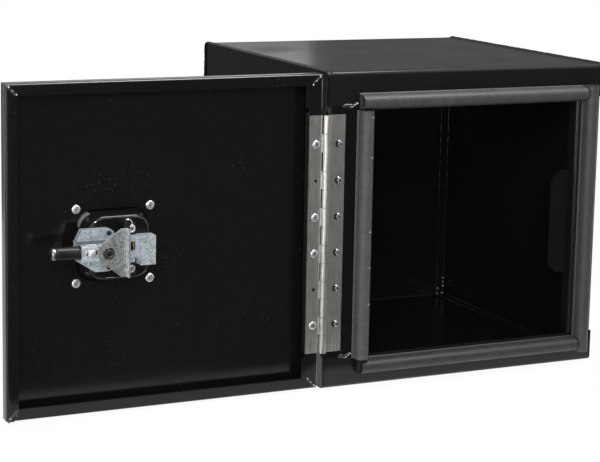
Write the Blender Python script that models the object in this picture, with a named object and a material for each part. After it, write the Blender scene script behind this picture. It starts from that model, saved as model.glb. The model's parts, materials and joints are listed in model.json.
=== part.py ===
"""Underbody truck tool box with a side-hung door, continuous hinge and paddle latch.

Metres, +Z up. The origin is the centre of the box's bottom face, +X runs to the
right along the front and +Y to the back. The door stands fully open at rest.
Shapes are written in a working frame whose corner is the box's front left foot.
"""
import math

import bmesh
import bpy
from mathutils import Vector

# Box body
BOX_W = 0.4572
BOX_D = 0.4572
BOX_H = 0.4572
SHEET = 0.002
BEND = 0.007
FIT = 0.0003
TOP_FLANGE = 0.049
BOTTOM_FLANGE = 0.046
LEFT_FLANGE = 0.073
RIGHT_FLANGE = 0.042
RETURN_LIP = 0.022
BEND_RELIEF = 0.009
END_FLANGE = 0.015
END_FLANGE_START = 0.030

# Continuous hinge
HINGE_LENGTH = 0.3415
HINGE_BOTTOM = 0.0555
KNUCKLES = 13
KNUCKLE_GAP = 0.0005
LEAF = 0.002
PIN_D = 0.0064
PIN_PLAY = 0.00015
HINGE_OFFSET_X = -0.0036
BOX_LEAF_REACH = 0.030
DOOR_LEAF_REACH = 0.0256
LEAF_ROOT = 0.0064
CURL_END = math.radians(392)
RIVET_COUNT = 6
RIVET_PITCH = 0.052
BOX_RIVET_X = 0.0198
DOOR_RIVET_X = 0.0146
EMPTY_DOOR_HOLES = (1, 4)
RIVET_SHANK_D = 0.0040
RIVET_HOLE_D = 0.0046
RIVET_HEAD_D = 0.0118
RIVET_HEAD_H = 0.0016
RIVET_BULB_D = 0.0104
RIVET_BULB_H = 0.0040
MANDREL_D = 0.0030

# Door pan
DOOR_DEPTH = 0.022
DOOR_HINGE_MARGIN = 0.0018
DOOR_FREE_MARGIN = 0.0004
DOOR_BOTTOM = 0.003
DOOR_TOP_MARGIN = 0.0022
DOOR_BEND = 0.004
DOOR_LIP = 0.017
DOOR_HINGE_LIP = 0.025
LIP_NOTCH_W = 0.005
LIP_NOTCH_H = 0.008
LIP_NOTCH_END = 0.030

# Bulb seals
SEAL_W = 0.024
SEAL_H = 0.0195
SEAL_WALL = 0.0028
TOP_SEAL_DROP = 0.031
BOTTOM_SEAL_RISE = 0.018
LEFT_SEAL_IN = 0.0455
RIGHT_SEAL_IN = 0.0112
TOP_SEAL_START = 0.049
BOTTOM_SEAL_START = 0.055

# Latch pan, placed from the door's free edge and the box's middle
LATCH_BACKSET = 0.1547
LATCH_RISE = 0.0018
PAN_SHEET = 0.0015
PAN_MOUTH_W = 0.101
PAN_MOUTH_H = 0.096
PAN_FLOOR_W = 0.088
PAN_FLOOR_H = 0.088
PAN_CORNER = 0.021
PAN_FLANGE = 0.012
PAN_HEIGHT = 0.025
PAN_PLAY = 0.0008
GASKET = 0.001
PAN_RIVET_W = 0.105
PAN_RIVET_H = 0.101
PAN_SOFT = 0.003
PAN_RIVET_TAIL_D = 0.0124
PAN_RIVET_TAIL_H = 0.0026

# Slam bolt and its housing, heights above the door's inner skin
BOLT_RISE = 0.0026
BOLT_LIFT = 0.052
BOLT_TIP_U = -0.1037
CORE_D = 0.014
SLEEVE_D = 0.0175
SLEEVE_LENGTH = 0.0325
TIP_LENGTH = 0.005
CORE_BACK_U = -0.0257
HOUSING_LEFT_U = -0.0647
HOUSING_RIGHT_U = -0.0107
HOUSING_LOW_W = -0.0284
HOUSING_HIGH_W = 0.0291
HOUSING_STEP = 0.038
HOUSING_TOP = 0.0623
HOUSING_WALL = 0.0015
CHANNEL_W = 0.0235
CHANNEL_BACK_U = -0.0167
CHANNEL_SOFT = 0.004
HOUSING_CHAMFER = 0.008
HOUSING_LOW_CHAMFER = 0.0265
HOUSING_BOW = 0.010
HOUSING_RIVET_IN = 0.0055
HOUSING_RIVET_D = 0.007
HOUSING_RIVET_H = 0.0013
FLOOR_RIVET_TAIL_D = 0.006
FLOOR_RIVET_TAIL_H = 0.0016
PULL_PLATE = 0.002
PULL_LIP = 0.010
PULL_TIP_R = 0.0143
PULL_BACK_U = -0.0022
PULL_LOW_W = -0.0312
PULL_HIGH_W = 0.0337
PULL_FLAT = 0.009
STUD_U = -0.0297
STUD_D = 0.009
STUD_PROUD = 0.0012
NUT_AF = 0.0155
NUT_H = 0.004
EDGE_BREAK = 0.0008

# Paddle handle and its pivot
PIVOT_U = -0.0287
PIVOT_LIFT = 0.010
PADDLE_ARM = 0.040
PADDLE_SWING = math.radians(40)
PADDLE_PIN_D = 0.004
PADDLE_SHEET = 0.0025
PADDLE_CORNER = 0.008
PADDLE_PIN_PROUD = 0.001
PADDLE_LOW_W = -0.0354
PADDLE_HIGH_W = 0.0226
PADDLE_RIGHT_U = 0.0373
PADDLE_LEFT_U = -0.0337
PADDLE_FACE = -0.0045
PADDLE_GRIP = 0.008
BARREL_D = 0.010
BARREL_HALF = 0.011
TAIL_SHEET = 0.003
TAIL_HALF = 0.005
TAIL_NOSE_D = 0.006
TAIL_PLAY = 0.0012
EAR_HALF = 0.020
EAR_SHEET = 0.002
SPRING_WIRE = 0.0012
SPRING_TURNS = 4
SPRING_COIL_D = 0.0076

# Keeper cover and key lock behind the latch pan
KEEPER_SHEET = 0.0015
KEEPER_LEFT_U = 0.0235
KEEPER_RIGHT_U = 0.0446
KEEPER_LOW_W = -0.0222
KEEPER_HIGH_W = 0.0175
KEEPER_TOP = 0.045
FOOT_LEFT_U = 0.0112
FOOT_RIGHT_U = 0.0218
FOOT_REACH = 0.0152
KEEPER_RIVET_D = 0.0112
KEEPER_RIVET_H = 0.0018
NECK_LEFT_U = 0.0085
NECK_TOP = 0.038
NECK_LOW_W = -0.0125
NECK_HIGH_W = 0.0165
WINDOW_LOW_W = -0.0025
WINDOW_HIGH_W = 0.0100
WINDOW_W = 0.0065
LOCK_U = 0.0052
LOCK_W = 0.0345
LOCK_D = 0.0085
LOCK_HEAD_D = 0.0125
LOCK_HEAD = 0.0014
LOCK_TOP = 0.040
LOCK_PLUG_D = 0.0055
LOCK_NUT_AF = 0.0098
LOCK_NUT_H = 0.0032
KEY_SLOT_W = 0.0012
KEY_SLOT_H = 0.005
KEY_SLOT_DEPTH = 0.006
CAM_LENGTH = 0.026
CAM_W = 0.008
CAM_SHEET = 0.002

# Strike bracket inside the right jamb
STRIKE_SHEET = 0.003
STRIKE_PLAY = 0.00045
STRIKE_CATCH = 0.0355
STRIKE_HALF = 0.0787
STRIKE_DROP = 0.0147
STRIKE_CHAMFER = 0.014
STRIKE_FRONT = 0.0024

# Values that follow from the sizes above
BARREL_R = PIN_D / 2 + PIN_PLAY + LEAF
BORE_R = PIN_D / 2 + PIN_PLAY
AXIS_X = HINGE_OFFSET_X
AXIS_Y = -FIT - BARREL_R
DOOR_LEFT = 2 * AXIS_X - (BOX_W - DOOR_FREE_MARGIN)
DOOR_RIGHT = 2 * AXIS_X - DOOR_HINGE_MARGIN
DOOR_TOP = BOX_H - DOOR_TOP_MARGIN
SKIN_Y = DOOR_DEPTH - SHEET
LATCH_X = DOOR_LEFT + LATCH_BACKSET
LATCH_Z = BOX_H / 2 + LATCH_RISE
BOLT_Z = LATCH_Z + BOLT_RISE
BOLT_TRAVEL = 2 * PADDLE_ARM * math.sin(PADDLE_SWING / 2)
HOUSING_BASE = PAN_HEIGHT + FIT
FLANGE_LOW = BOTTOM_FLANGE + FIT
FLANGE_HIGH = BOX_H - TOP_FLANGE - FIT
HINGE_MIDDLE = HINGE_BOTTOM + HINGE_LENGTH / 2
ROUND = 16


def clear_scene():
    for old in list(bpy.data.objects):
        bpy.data.objects.remove(old, do_unlink=True)


def finish(name, colour, roughness, metallic):
    material = bpy.data.materials.new(name)
    material.use_nodes = True
    shader = material.node_tree.nodes["Principled BSDF"]
    shader.inputs["Base Color"].default_value = (*colour, 1)
    shader.inputs["Roughness"].default_value = roughness
    shader.inputs["Metallic"].default_value = metallic
    return material


def empty(name, place, parent=None):
    carrier = bpy.data.objects.new(name, None)
    bpy.context.scene.collection.objects.link(carrier)
    carrier.parent = parent
    carrier.location = place
    return carrier


def solid(name, shape, material, carrier):
    """Turns a finished bmesh, written in the working frame, into one named piece."""
    bmesh.ops.remove_doubles(shape, verts=shape.verts, dist=1e-6)
    bmesh.ops.recalc_face_normals(shape, faces=shape.faces)
    mesh = bpy.data.meshes.new(name)
    shape.to_mesh(mesh)
    shape.free()
    mesh.materials.append(material)
    mesh.shade_smooth()
    mesh.set_sharp_from_angle(angle=math.radians(35))
    piece = bpy.data.objects.new(name, mesh)
    bpy.context.scene.collection.objects.link(piece)
    piece.parent = carrier
    piece.location = -Vector(carrier["working_place"])
    return piece


# Outlines
def arc(cx, cy, radius, start, end, steps):
    turn = (end - start) / steps
    return [(cx + radius * math.cos(start + turn * i), cy + radius * math.sin(start + turn * i))
            for i in range(steps + 1)]


def circle(cx, cy, radius, steps=ROUND):
    return arc(cx, cy, radius, 0, math.tau, steps)[:-1]


def rounded(cx, cy, width, height, radius, steps=4):
    outline = []
    for quarter, (sx, sy) in enumerate(((1, 1), (-1, 1), (-1, -1), (1, -1))):
        corner_x = cx + sx * (width / 2 - radius)
        corner_y = cy + sy * (height / 2 - radius)
        start = quarter * math.pi / 2
        outline += arc(corner_x, corner_y, radius, start, start + math.pi / 2, steps)
    return outline


def bent_sheet(corners, thick, bend, steps=4):
    """Outline of a folded sheet from its outer corners, every fold a left turn of 90 degrees."""
    points = [Vector(corner) for corner in corners]
    outer = []
    inner = []
    for i, point in enumerate(points):
        run = (points[i + 1] - point) if i == 0 else (point - points[i - 1])
        run = run.normalized()
        side = Vector((-run.y, run.x))
        if i in (0, len(points) - 1):
            outer.append(point)
            inner.append(point + side * thick)
            continue
        centre = point - run * bend + side * bend
        for step in range(steps + 1):
            turn = math.pi / 2 * step / steps
            spoke = run * math.sin(turn) - side * math.cos(turn)
            outer.append(centre + spoke * bend)
            inner.append(centre + spoke * (bend - thick))
    return [tuple(p) for p in outer + inner[::-1]]


def hexagon(cx, cy, across_flats):
    return circle(cx, cy, across_flats / math.sqrt(3), 6)


# Solids
PLANES = {
    "XY": lambda u, v, t: (u, v, t),
    "XZ": lambda u, v, t: (u, t, v),
    "YZ": lambda u, v, t: (t, u, v),
}


def add_prism(shape, outline, plane, start, end):
    place = PLANES[plane]
    low = [shape.verts.new(place(u, v, start)) for u, v in outline]
    high = [shape.verts.new(place(u, v, end)) for u, v in outline]
    shape.faces.new(low[::-1])
    shape.faces.new(high)
    for i in range(len(outline)):
        j = (i + 1) % len(outline)
        shape.faces.new((low[i], low[j], high[j], high[i]))


def prism(outline, plane, start, end):
    shape = bmesh.new()
    add_prism(shape, outline, plane, start, end)
    bmesh.ops.recalc_face_normals(shape, faces=shape.faces)
    return shape


def block(x0, x1, y0, y1, z0, z1):
    return prism([(x0, y0), (x1, y0), (x1, y1), (x0, y1)], "XY", z0, z1)


def turned(profile, plane, centre, steps=ROUND):
    """Closed solid of rings (radius, height along the plane's third axis); radius 0 is a pole."""
    shape = bmesh.new()
    place = PLANES[plane]
    rings = []
    for radius, height in profile:
        if radius == 0:
            rings.append([shape.verts.new(place(*centre, height))])
        else:
            rings.append([shape.verts.new(place(u, v, height)) for u, v in circle(*centre, radius, steps)])
    for first, second in zip(rings, rings[1:]):
        for i in range(steps):
            j = (i + 1) % steps
            near = [first[i % len(first)], first[j % len(first)]]
            far = [second[j % len(second)], second[i % len(second)]]
            shape.faces.new(list(dict.fromkeys(near + far)))
    bmesh.ops.recalc_face_normals(shape, faces=shape.faces)
    return shape


def loft(loops, plane):
    """Closed solid through loops of equal length, each (outline, height), with flat ends."""
    shape = bmesh.new()
    place = PLANES[plane]
    rings = [[shape.verts.new(place(u, v, height)) for u, v in outline] for outline, height in loops]
    for first, second in zip(rings, rings[1:]):
        for i in range(len(first)):
            j = (i + 1) % len(first)
            shape.faces.new((first[i], first[j], second[j], second[i]))
    shape.faces.new(rings[0])
    shape.faces.new(rings[-1])
    bmesh.ops.recalc_face_normals(shape, faces=shape.faces)
    return shape


def boolean(base, tool, operation):
    """Joins or cuts two shapes with the exact solver and frees both."""
    stand_ins = []
    for shape in (base, tool):
        mesh = bpy.data.meshes.new("working")
        shape.to_mesh(mesh)
        shape.free()
        stand_in = bpy.data.objects.new("working", mesh)
        bpy.context.scene.collection.objects.link(stand_in)
        stand_ins.append(stand_in)
    modifier = stand_ins[0].modifiers.new("boolean", "BOOLEAN")
    modifier.operation = operation
    modifier.object = stand_ins[1]
    modifier.solver = "EXACT"
    modifier.use_self = False
    graph = bpy.context.evaluated_depsgraph_get()
    result = bmesh.new()
    result.from_mesh(stand_ins[0].evaluated_get(graph).to_mesh())
    for stand_in in stand_ins:
        mesh = stand_in.data
        bpy.data.objects.remove(stand_in, do_unlink=True)
        bpy.data.meshes.remove(mesh)
    bmesh.ops.remove_doubles(result, verts=result.verts, dist=1e-6)
    bmesh.ops.dissolve_limit(result, angle_limit=1e-3, verts=result.verts, edges=result.edges)
    return result


def joined(base, *tools):
    for tool in tools:
        base = boolean(base, tool, "UNION")
    return base


def cut(base, *tools):
    for tool in tools:
        base = boolean(base, tool, "DIFFERENCE")
    return base


def holes(places, diameter, plane, start, end, steps=12):
    """One cutter of equal round holes."""
    shape = bmesh.new()
    for u, v in places:
        add_prism(shape, circle(u, v, diameter / 2, steps), plane, start, end)
    bmesh.ops.recalc_face_normals(shape, faces=shape.faces)
    return shape


def rivet(place, head, tail, head_d, head_h, tail_d, tail_h):
    """Blind rivet along Y. head and tail are the heights of the two faces it clamps."""
    out = -1 if head < tail else 1
    radius = head_d / 2
    bulb = tail_d / 2
    shank = RIVET_SHANK_D / 2
    mandrel = MANDREL_D / 2
    seat = head + out * FIT
    back = tail - out * FIT
    profile = [
        (0, seat + out * head_h * 0.4),
        (mandrel, seat + out * head_h * 0.4),
        (mandrel, seat + out * head_h),
        (radius * 0.85, seat + out * head_h * 0.6),
        (radius, seat),
        (shank, seat),
        (shank, back),
        (bulb, back),
        (bulb, back - out * tail_h * 0.4),
        (bulb * 0.66, back - out * tail_h * 0.85),
        (mandrel, back - out * tail_h * 0.7),
        (mandrel, back - out * tail_h),
        (0, back - out * tail_h),
    ]
    return turned(profile, "XZ", place, 8)


def lift(height):
    """Working y of a height above the open door's inner skin."""
    return SKIN_Y - height


def hinge_rivet_heights():
    first = HINGE_MIDDLE - RIVET_PITCH * (RIVET_COUNT - 1) / 2
    return [first + RIVET_PITCH * i for i in range(RIVET_COUNT)]


def box_rivet_places():
    return [(AXIS_X + BOX_RIVET_X, z) for z in hinge_rivet_heights()]


def door_rivet_places():
    return [(AXIS_X - DOOR_RIVET_X, z) for z in hinge_rivet_heights()]


def pan_rivet_places():
    return [(LATCH_X + sx * PAN_RIVET_W / 2, LATCH_Z + sz * PAN_RIVET_H / 2)
            for sx in (-1, 1) for sz in (-1, 1)]


def keeper_rivet_places():
    middle = LATCH_X + (FOOT_LEFT_U + FOOT_RIGHT_U) / 2
    low = LATCH_Z + KEEPER_LOW_W - FOOT_REACH / 2
    high = LATCH_Z + KEEPER_HIGH_W + FOOT_REACH / 2
    return [(middle, low), (middle, high)]


def housing_rivet_places():
    low = LATCH_Z + HOUSING_LOW_W + HOUSING_RIVET_IN
    high = LATCH_Z + HOUSING_HIGH_W - HOUSING_RIVET_IN
    across = LATCH_X + (HOUSING_RIGHT_U + CHANNEL_BACK_U) / 2 - HOUSING_RIVET_IN
    return [(across, low), (across, high)]


# Box body
def wrapper():
    path = [(0, BOTTOM_FLANGE), (0, 0), (BOX_D, 0), (BOX_D, BOX_H), (0, BOX_H), (0, BOX_H - TOP_FLANGE)]
    side = SHEET + FIT
    return prism(bent_sheet(path, SHEET, BEND), "YZ", side, BOX_W - side)


def end_plate(mirrored, flange):
    """End of the box: a folded front jamb, and a lap that runs round inside the wrapper."""
    quarter = math.pi / 2
    outline = arc(BEND, BEND, BEND, math.pi, 3 * quarter, 4)
    outline += arc(BOX_D - BEND, BEND, BEND, -quarter, 0, 4)
    outline += arc(BOX_D - BEND, BOX_H - BEND, BEND, 0, quarter, 4)
    outline += arc(BEND, BOX_H - BEND, BEND, quarter, math.pi, 4)
    outline += [(0, FLANGE_HIGH + FIT), (BEND_RELIEF, FLANGE_HIGH + FIT)]
    outline += [(BEND_RELIEF, FLANGE_LOW - FIT), (0, FLANGE_LOW - FIT)]
    plate = prism(outline, "YZ", 0, SHEET)
    path = [(0, 2 * BEND_RELIEF), (0, 0), (flange, 0), (flange, RETURN_LIP)]
    jamb = prism(bent_sheet(path, SHEET, BEND), "XY", FLANGE_LOW, FLANGE_HIGH)
    inside = SHEET + FIT
    lap_path = [(END_FLANGE_START, inside), (BOX_D - inside, inside), (BOX_D - inside, BOX_H - inside)]
    lap_path.append((END_FLANGE_START, BOX_H - inside))
    lap = prism(bent_sheet(lap_path, SHEET, BEND - inside), "YZ", SHEET / 2, END_FLANGE)
    shape = joined(plate, jamb, lap)
    if mirrored:
        for vert in shape.verts:
            vert.co.x = BOX_W - vert.co.x
        bmesh.ops.reverse_faces(shape, faces=shape.faces)
    return shape


def left_end_plate():
    drill = holes(box_rivet_places(), RIVET_HOLE_D, "XZ", -SHEET, 2 * SHEET)
    return cut(end_plate(False, LEFT_FLANGE), drill)


def strike_bracket():
    """Welded L: a leg along the jamb's return lip and a catch plate that the bolt slides behind."""
    right = BOX_W - RIGHT_FLANGE - FIT
    back = 2 * AXIS_Y - lift(BOLT_LIFT) - SLEEVE_D / 2 - STRIKE_PLAY
    front = back - STRIKE_SHEET
    middle = BOLT_Z - STRIKE_DROP
    low = middle - STRIKE_HALF
    high = middle + STRIKE_HALF
    left = right - STRIKE_CATCH
    outline = [(right, low), (right, high), (left + STRIKE_CHAMFER, high), (left, high - STRIKE_CHAMFER),
               (left, low + STRIKE_CHAMFER), (left + STRIKE_CHAMFER, low)]
    catch = prism(outline, "XZ", front, back)
    leg = block(right - STRIKE_SHEET, right, STRIKE_FRONT, front + STRIKE_SHEET / 2, low, high)
    return joined(catch, leg)


def seal_outline(along, base, toward):
    """Hollow D bulb standing on its flat back; the slit-free tube is a ring of two D outlines."""
    outer = [(along - SEAL_W / 2, base)]
    half = SEAL_W / 2
    crown = SEAL_H - half
    outer += [(along + p, base + toward * (crown + q)) for p, q in arc(0, 0, half, math.pi, 0, 10)]
    outer.append((along + SEAL_W / 2, base))
    inner_half = half - SEAL_WALL
    inner = [(along - inner_half, base + toward * SEAL_WALL)]
    inner += [(along + p, base + toward * (crown + q)) for p, q in arc(0, 0, inner_half, math.pi, 0, 10)]
    inner.append((along + inner_half, base + toward * SEAL_WALL))
    return outer, inner


def seal(plane, along, start, end):
    """plane XY runs the strip upright along z; plane YZ runs it along x."""
    outer, inner = seal_outline(along, -FIT, -1)
    if plane == "YZ":
        outer = [(v, u) for u, v in outer]
        inner = [(v, u) for u, v in inner]
    place = PLANES[plane]
    shape = bmesh.new()
    rings = []
    for outline in (outer, inner):
        for level in (start, end):
            rings.append([shape.verts.new(place(u, v, level)) for u, v in outline])
    count = len(outer)
    for first, second in ((0, 1), (2, 3), (0, 2), (1, 3)):
        for i in range(count):
            j = (i + 1) % count
            shape.faces.new((rings[first][i], rings[first][j], rings[second][j], rings[second][i]))
    return shape


# Hinge
def knuckle_span(index):
    pitch = HINGE_LENGTH / KNUCKLES
    low = HINGE_BOTTOM + pitch * index
    return low + KNUCKLE_GAP / 2, low + pitch - KNUCKLE_GAP / 2


def hinge_leaf(reach, side, knuckles, hole_places):
    """One leaf with its rolled knuckles. side is +1 for the box leaf and -1 for the door leaf."""
    back = AXIS_Y + BARREL_R
    face = back - LEAF
    top = HINGE_BOTTOM + HINGE_LENGTH
    x0 = AXIS_X + side * LEAF_ROOT
    x1 = AXIS_X + side * reach
    leaf = prism([(x0, face), (x1, face), (x1, back), (x0, back)], "XY", HINGE_BOTTOM, top)
    tongue = LEAF_ROOT + LEAF
    curl = [(tongue, BARREL_R)]
    curl += arc(0, 0, BARREL_R, math.pi / 2, CURL_END, 17)
    curl += arc(0, 0, BORE_R, CURL_END, math.pi / 2, 17)
    curl.append((tongue, BORE_R))
    outline = [(AXIS_X + side * u, AXIS_Y + v) for u, v in curl]
    rolls = bmesh.new()
    for index in knuckles:
        low, high = knuckle_span(index)
        add_prism(rolls, outline, "XY", low, high)
    bmesh.ops.recalc_face_normals(rolls, faces=rolls.faces)
    drill = holes(hole_places, RIVET_HOLE_D, "XZ", face - LEAF, back + LEAF)
    return cut(joined(leaf, rolls), drill)


def hinge_pin():
    return prism(circle(AXIS_X, AXIS_Y, PIN_D / 2), "XY", HINGE_BOTTOM, HINGE_BOTTOM + HINGE_LENGTH)


# Door
def rolled_block(x0, x1, y0, y1, z0, z1, radius):
    """Block whose front and back outlines are rolled over, with plain corners between them."""
    shape = block(x0, x1, y0, y1, z0, z1)
    rims = [e for e in shape.edges if abs(e.verts[0].co.y - e.verts[1].co.y) < 1e-6]
    bmesh.ops.bevel(shape, geom=rims, offset=radius, segments=3, profile=0.5, affect="EDGES",
                    clamp_overlap=True)
    return shape


def door_panel():
    pan = rolled_block(DOOR_LEFT, DOOR_RIGHT, 0, DOOR_DEPTH, DOOR_BOTTOM, DOOR_TOP, DOOR_BEND)
    hollow = rolled_block(DOOR_LEFT + SHEET, DOOR_RIGHT - SHEET, SHEET, DOOR_DEPTH - SHEET,
                          DOOR_BOTTOM + SHEET, DOOR_TOP - SHEET, DOOR_BEND - SHEET)
    left = DOOR_LEFT + DOOR_LIP
    right = DOOR_RIGHT - DOOR_HINGE_LIP
    low = DOOR_BOTTOM + DOOR_LIP
    high = DOOR_TOP - DOOR_LIP
    outline = [(left, low), (right, low)]
    for foot in (low + LIP_NOTCH_END, high - LIP_NOTCH_END - LIP_NOTCH_H):
        outline += [(right, foot), (right + LIP_NOTCH_W, foot)]
        outline += [(right + LIP_NOTCH_W, foot + LIP_NOTCH_H), (right, foot + LIP_NOTCH_H)]
    outline += [(right, high), (left, high)]
    mouth = prism(outline, "XZ", -SHEET, 2 * SHEET)
    window = prism(rounded(LATCH_X, LATCH_Z, PAN_MOUTH_W + 2 * PAN_PLAY, PAN_MOUTH_H + 2 * PAN_PLAY,
                           PAN_CORNER + PAN_PLAY), "XZ", SKIN_Y - SHEET, DOOR_DEPTH + SHEET)
    lip_drill = holes(door_rivet_places(), RIVET_HOLE_D, "XZ", -SHEET, 2 * SHEET)
    pan_drill = holes(pan_rivet_places(), RIVET_HOLE_D, "XZ", SKIN_Y - SHEET, DOOR_DEPTH + SHEET)
    return cut(pan, hollow, mouth, window, lip_drill, pan_drill)


# Latch pan
def pan_outline(width, height, corner):
    return rounded(LATCH_X, LATCH_Z, width, height, corner)


def pan_flange_levels():
    outer = lift(-SHEET - FIT - GASKET - FIT)
    return outer, outer + PAN_SHEET


def latch_pan():
    """Dished pan: a flange outside the door, walls through it and a raised floor inside the box."""
    seat, face = pan_flange_levels()
    floor = lift(PAN_HEIGHT)
    wide = PAN_MOUTH_W + 2 * PAN_FLANGE
    tall = PAN_MOUTH_H + 2 * PAN_FLANGE
    soft = PAN_SOFT
    thin = 2 * PAN_SHEET
    body = loft([
        (pan_outline(wide, tall, PAN_CORNER), face),
        (pan_outline(wide, tall, PAN_CORNER), seat),
        (pan_outline(PAN_MOUTH_W, PAN_MOUTH_H, PAN_CORNER), seat),
        (pan_outline(PAN_FLOOR_W, PAN_FLOOR_H, PAN_CORNER), floor + soft),
        (pan_outline(PAN_FLOOR_W - soft, PAN_FLOOR_H - soft, PAN_CORNER - soft / 2), floor + soft / 4),
        (pan_outline(PAN_FLOOR_W - 2 * soft, PAN_FLOOR_H - 2 * soft, PAN_CORNER - soft), floor),
    ], "XZ")
    inner = PAN_CORNER - PAN_SHEET
    recess = loft([
        (pan_outline(PAN_MOUTH_W - thin, PAN_MOUTH_H - thin, inner), face + PAN_SHEET),
        (pan_outline(PAN_MOUTH_W - thin, PAN_MOUTH_H - thin, inner), face - PAN_SHEET),
        (pan_outline(PAN_FLOOR_W - thin, PAN_FLOOR_H - thin, inner), floor + PAN_SHEET + soft / 4),
        (pan_outline(PAN_FLOOR_W - thin - soft, PAN_FLOOR_H - thin - soft, inner), floor + PAN_SHEET),
    ], "XZ")
    pan = cut(body, recess)
    pivot_x = LATCH_X + PIVOT_U
    pivot_y = lift(PIVOT_LIFT)
    ear_r = BARREL_D / 2
    ear = arc(pivot_x, pivot_y, ear_r, 0, math.pi, 8)
    ear += [(pivot_x - ear_r, floor + PAN_SHEET / 2), (pivot_x + ear_r, floor + PAN_SHEET / 2)]
    ears = bmesh.new()
    for side in (-1, 1):
        near = BOLT_Z + side * EAR_HALF
        add_prism(ears, ear, "XY", min(near, near + side * EAR_SHEET), max(near, near + side * EAR_SHEET))
    bmesh.ops.recalc_face_normals(ears, faces=ears.faces)
    pin_drill = prism(circle(pivot_x, pivot_y, PADDLE_PIN_D / 2 + FIT, 12), "XY",
                      BOLT_Z - 2 * EAR_HALF, BOLT_Z + 2 * EAR_HALF)
    reach = (PAN_HEIGHT - PIVOT_LIFT) * math.tan(PADDLE_SWING / 2) + TAIL_SHEET + TAIL_PLAY
    slot_half = TAIL_HALF + TAIL_PLAY
    slot = block(pivot_x - reach, pivot_x + reach, floor - PAN_SHEET, floor + 2 * PAN_SHEET,
                 BOLT_Z - slot_half, BOLT_Z + slot_half)
    rivet_drill = holes(pan_rivet_places(), RIVET_HOLE_D, "XZ", seat - PAN_SHEET, face + PAN_SHEET)
    floor_drill = holes(keeper_rivet_places() + housing_rivet_places(), RIVET_HOLE_D, "XZ",
                        floor - PAN_SHEET, floor + 2 * PAN_SHEET)
    lock_drill = prism(circle(LATCH_X + LOCK_U, LATCH_Z + LOCK_W, LOCK_D / 2 + FIT), "XZ",
                       floor - PAN_SHEET, floor + 2 * PAN_SHEET)
    return cut(joined(pan, ears), pin_drill, slot, rivet_drill, floor_drill, lock_drill)


def pan_gasket():
    near = lift(-SHEET - FIT)
    far = near + GASKET
    wide = PAN_MOUTH_W + 2 * PAN_FLANGE
    tall = PAN_MOUTH_H + 2 * PAN_FLANGE
    sheet = prism(pan_outline(wide, tall, PAN_CORNER), "XZ", near, far)
    mouth = prism(pan_outline(PAN_MOUTH_W + 2 * PAN_PLAY, PAN_MOUTH_H + 2 * PAN_PLAY, PAN_CORNER + PAN_PLAY),
                  "XZ", near - GASKET, far + GASKET)
    return cut(sheet, mouth, holes(pan_rivet_places(), RIVET_HOLE_D, "XZ", near - GASKET, far + GASKET))


# Bolt housing and bolt
def housing_outline(inset):
    left = LATCH_X + HOUSING_LEFT_U + inset
    right = LATCH_X + HOUSING_RIGHT_U - inset
    low = LATCH_Z + HOUSING_LOW_W + inset
    high = LATCH_Z + HOUSING_HIGH_W - inset
    slope = (high - low) / 2 - CHANNEL_W / 2
    bow = HOUSING_BOW - inset
    outline = arc(right - bow, low + bow, bow, -math.pi / 2, 0, 4)
    outline += arc(right - bow, high - bow, bow, 0, math.pi / 2, 4)
    outline += [(left + HOUSING_CHAMFER, high), (left, high - slope), (left, low + slope)]
    outline.append((left + HOUSING_LOW_CHAMFER, low))
    return outline


def bolt_housing():
    base = lift(HOUSING_BASE)
    step = lift(HOUSING_STEP)
    top = lift(HOUSING_TOP)
    left = LATCH_X + HOUSING_LEFT_U
    back = LATCH_X + CHANNEL_BACK_U
    half = CHANNEL_W / 2
    wall = HOUSING_WALL
    bolt_y = lift(BOLT_LIFT)
    cap = prism(housing_outline(0), "XZ", step, base)
    soft = CHANNEL_SOFT
    tunnel_outline = [(base, BOLT_Z - half), (base, BOLT_Z + half)]
    tunnel_outline += [(top + soft, BOLT_Z + half), (top, BOLT_Z + half - soft)]
    tunnel_outline += [(top, BOLT_Z - half + soft), (top + soft, BOLT_Z - half)]
    tunnel = prism(tunnel_outline, "YZ", left, back)
    pocket = prism(housing_outline(wall), "XZ", step + wall, base + wall)
    slim = half - wall
    bore_outline = [(base + wall, BOLT_Z - slim), (base + wall, BOLT_Z + slim)]
    bore_outline += [(top + wall + soft, BOLT_Z + slim), (top + wall, BOLT_Z + slim - soft)]
    bore_outline += [(top + wall, BOLT_Z - slim + soft), (top + wall + soft, BOLT_Z - slim)]
    bore = prism(bore_outline, "YZ", left + wall, back + wall)
    nose = prism([(y, z) for y, z in circle(bolt_y, BOLT_Z, SLEEVE_D / 2 + 2 * FIT)], "YZ",
                 left - wall, left + 2 * wall)
    stud_x = LATCH_X + STUD_U
    play = STUD_D / 2 + 2 * FIT
    stud_slot = block(stud_x - play, back + wall, top - wall, top + 2 * wall, BOLT_Z - play, BOLT_Z + play)
    drill = holes(housing_rivet_places(), RIVET_HOLE_D, "XZ", step - wall, step + 2 * wall)
    return cut(joined(cap, tunnel), pocket, bore, nose, stud_slot, drill)


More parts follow.
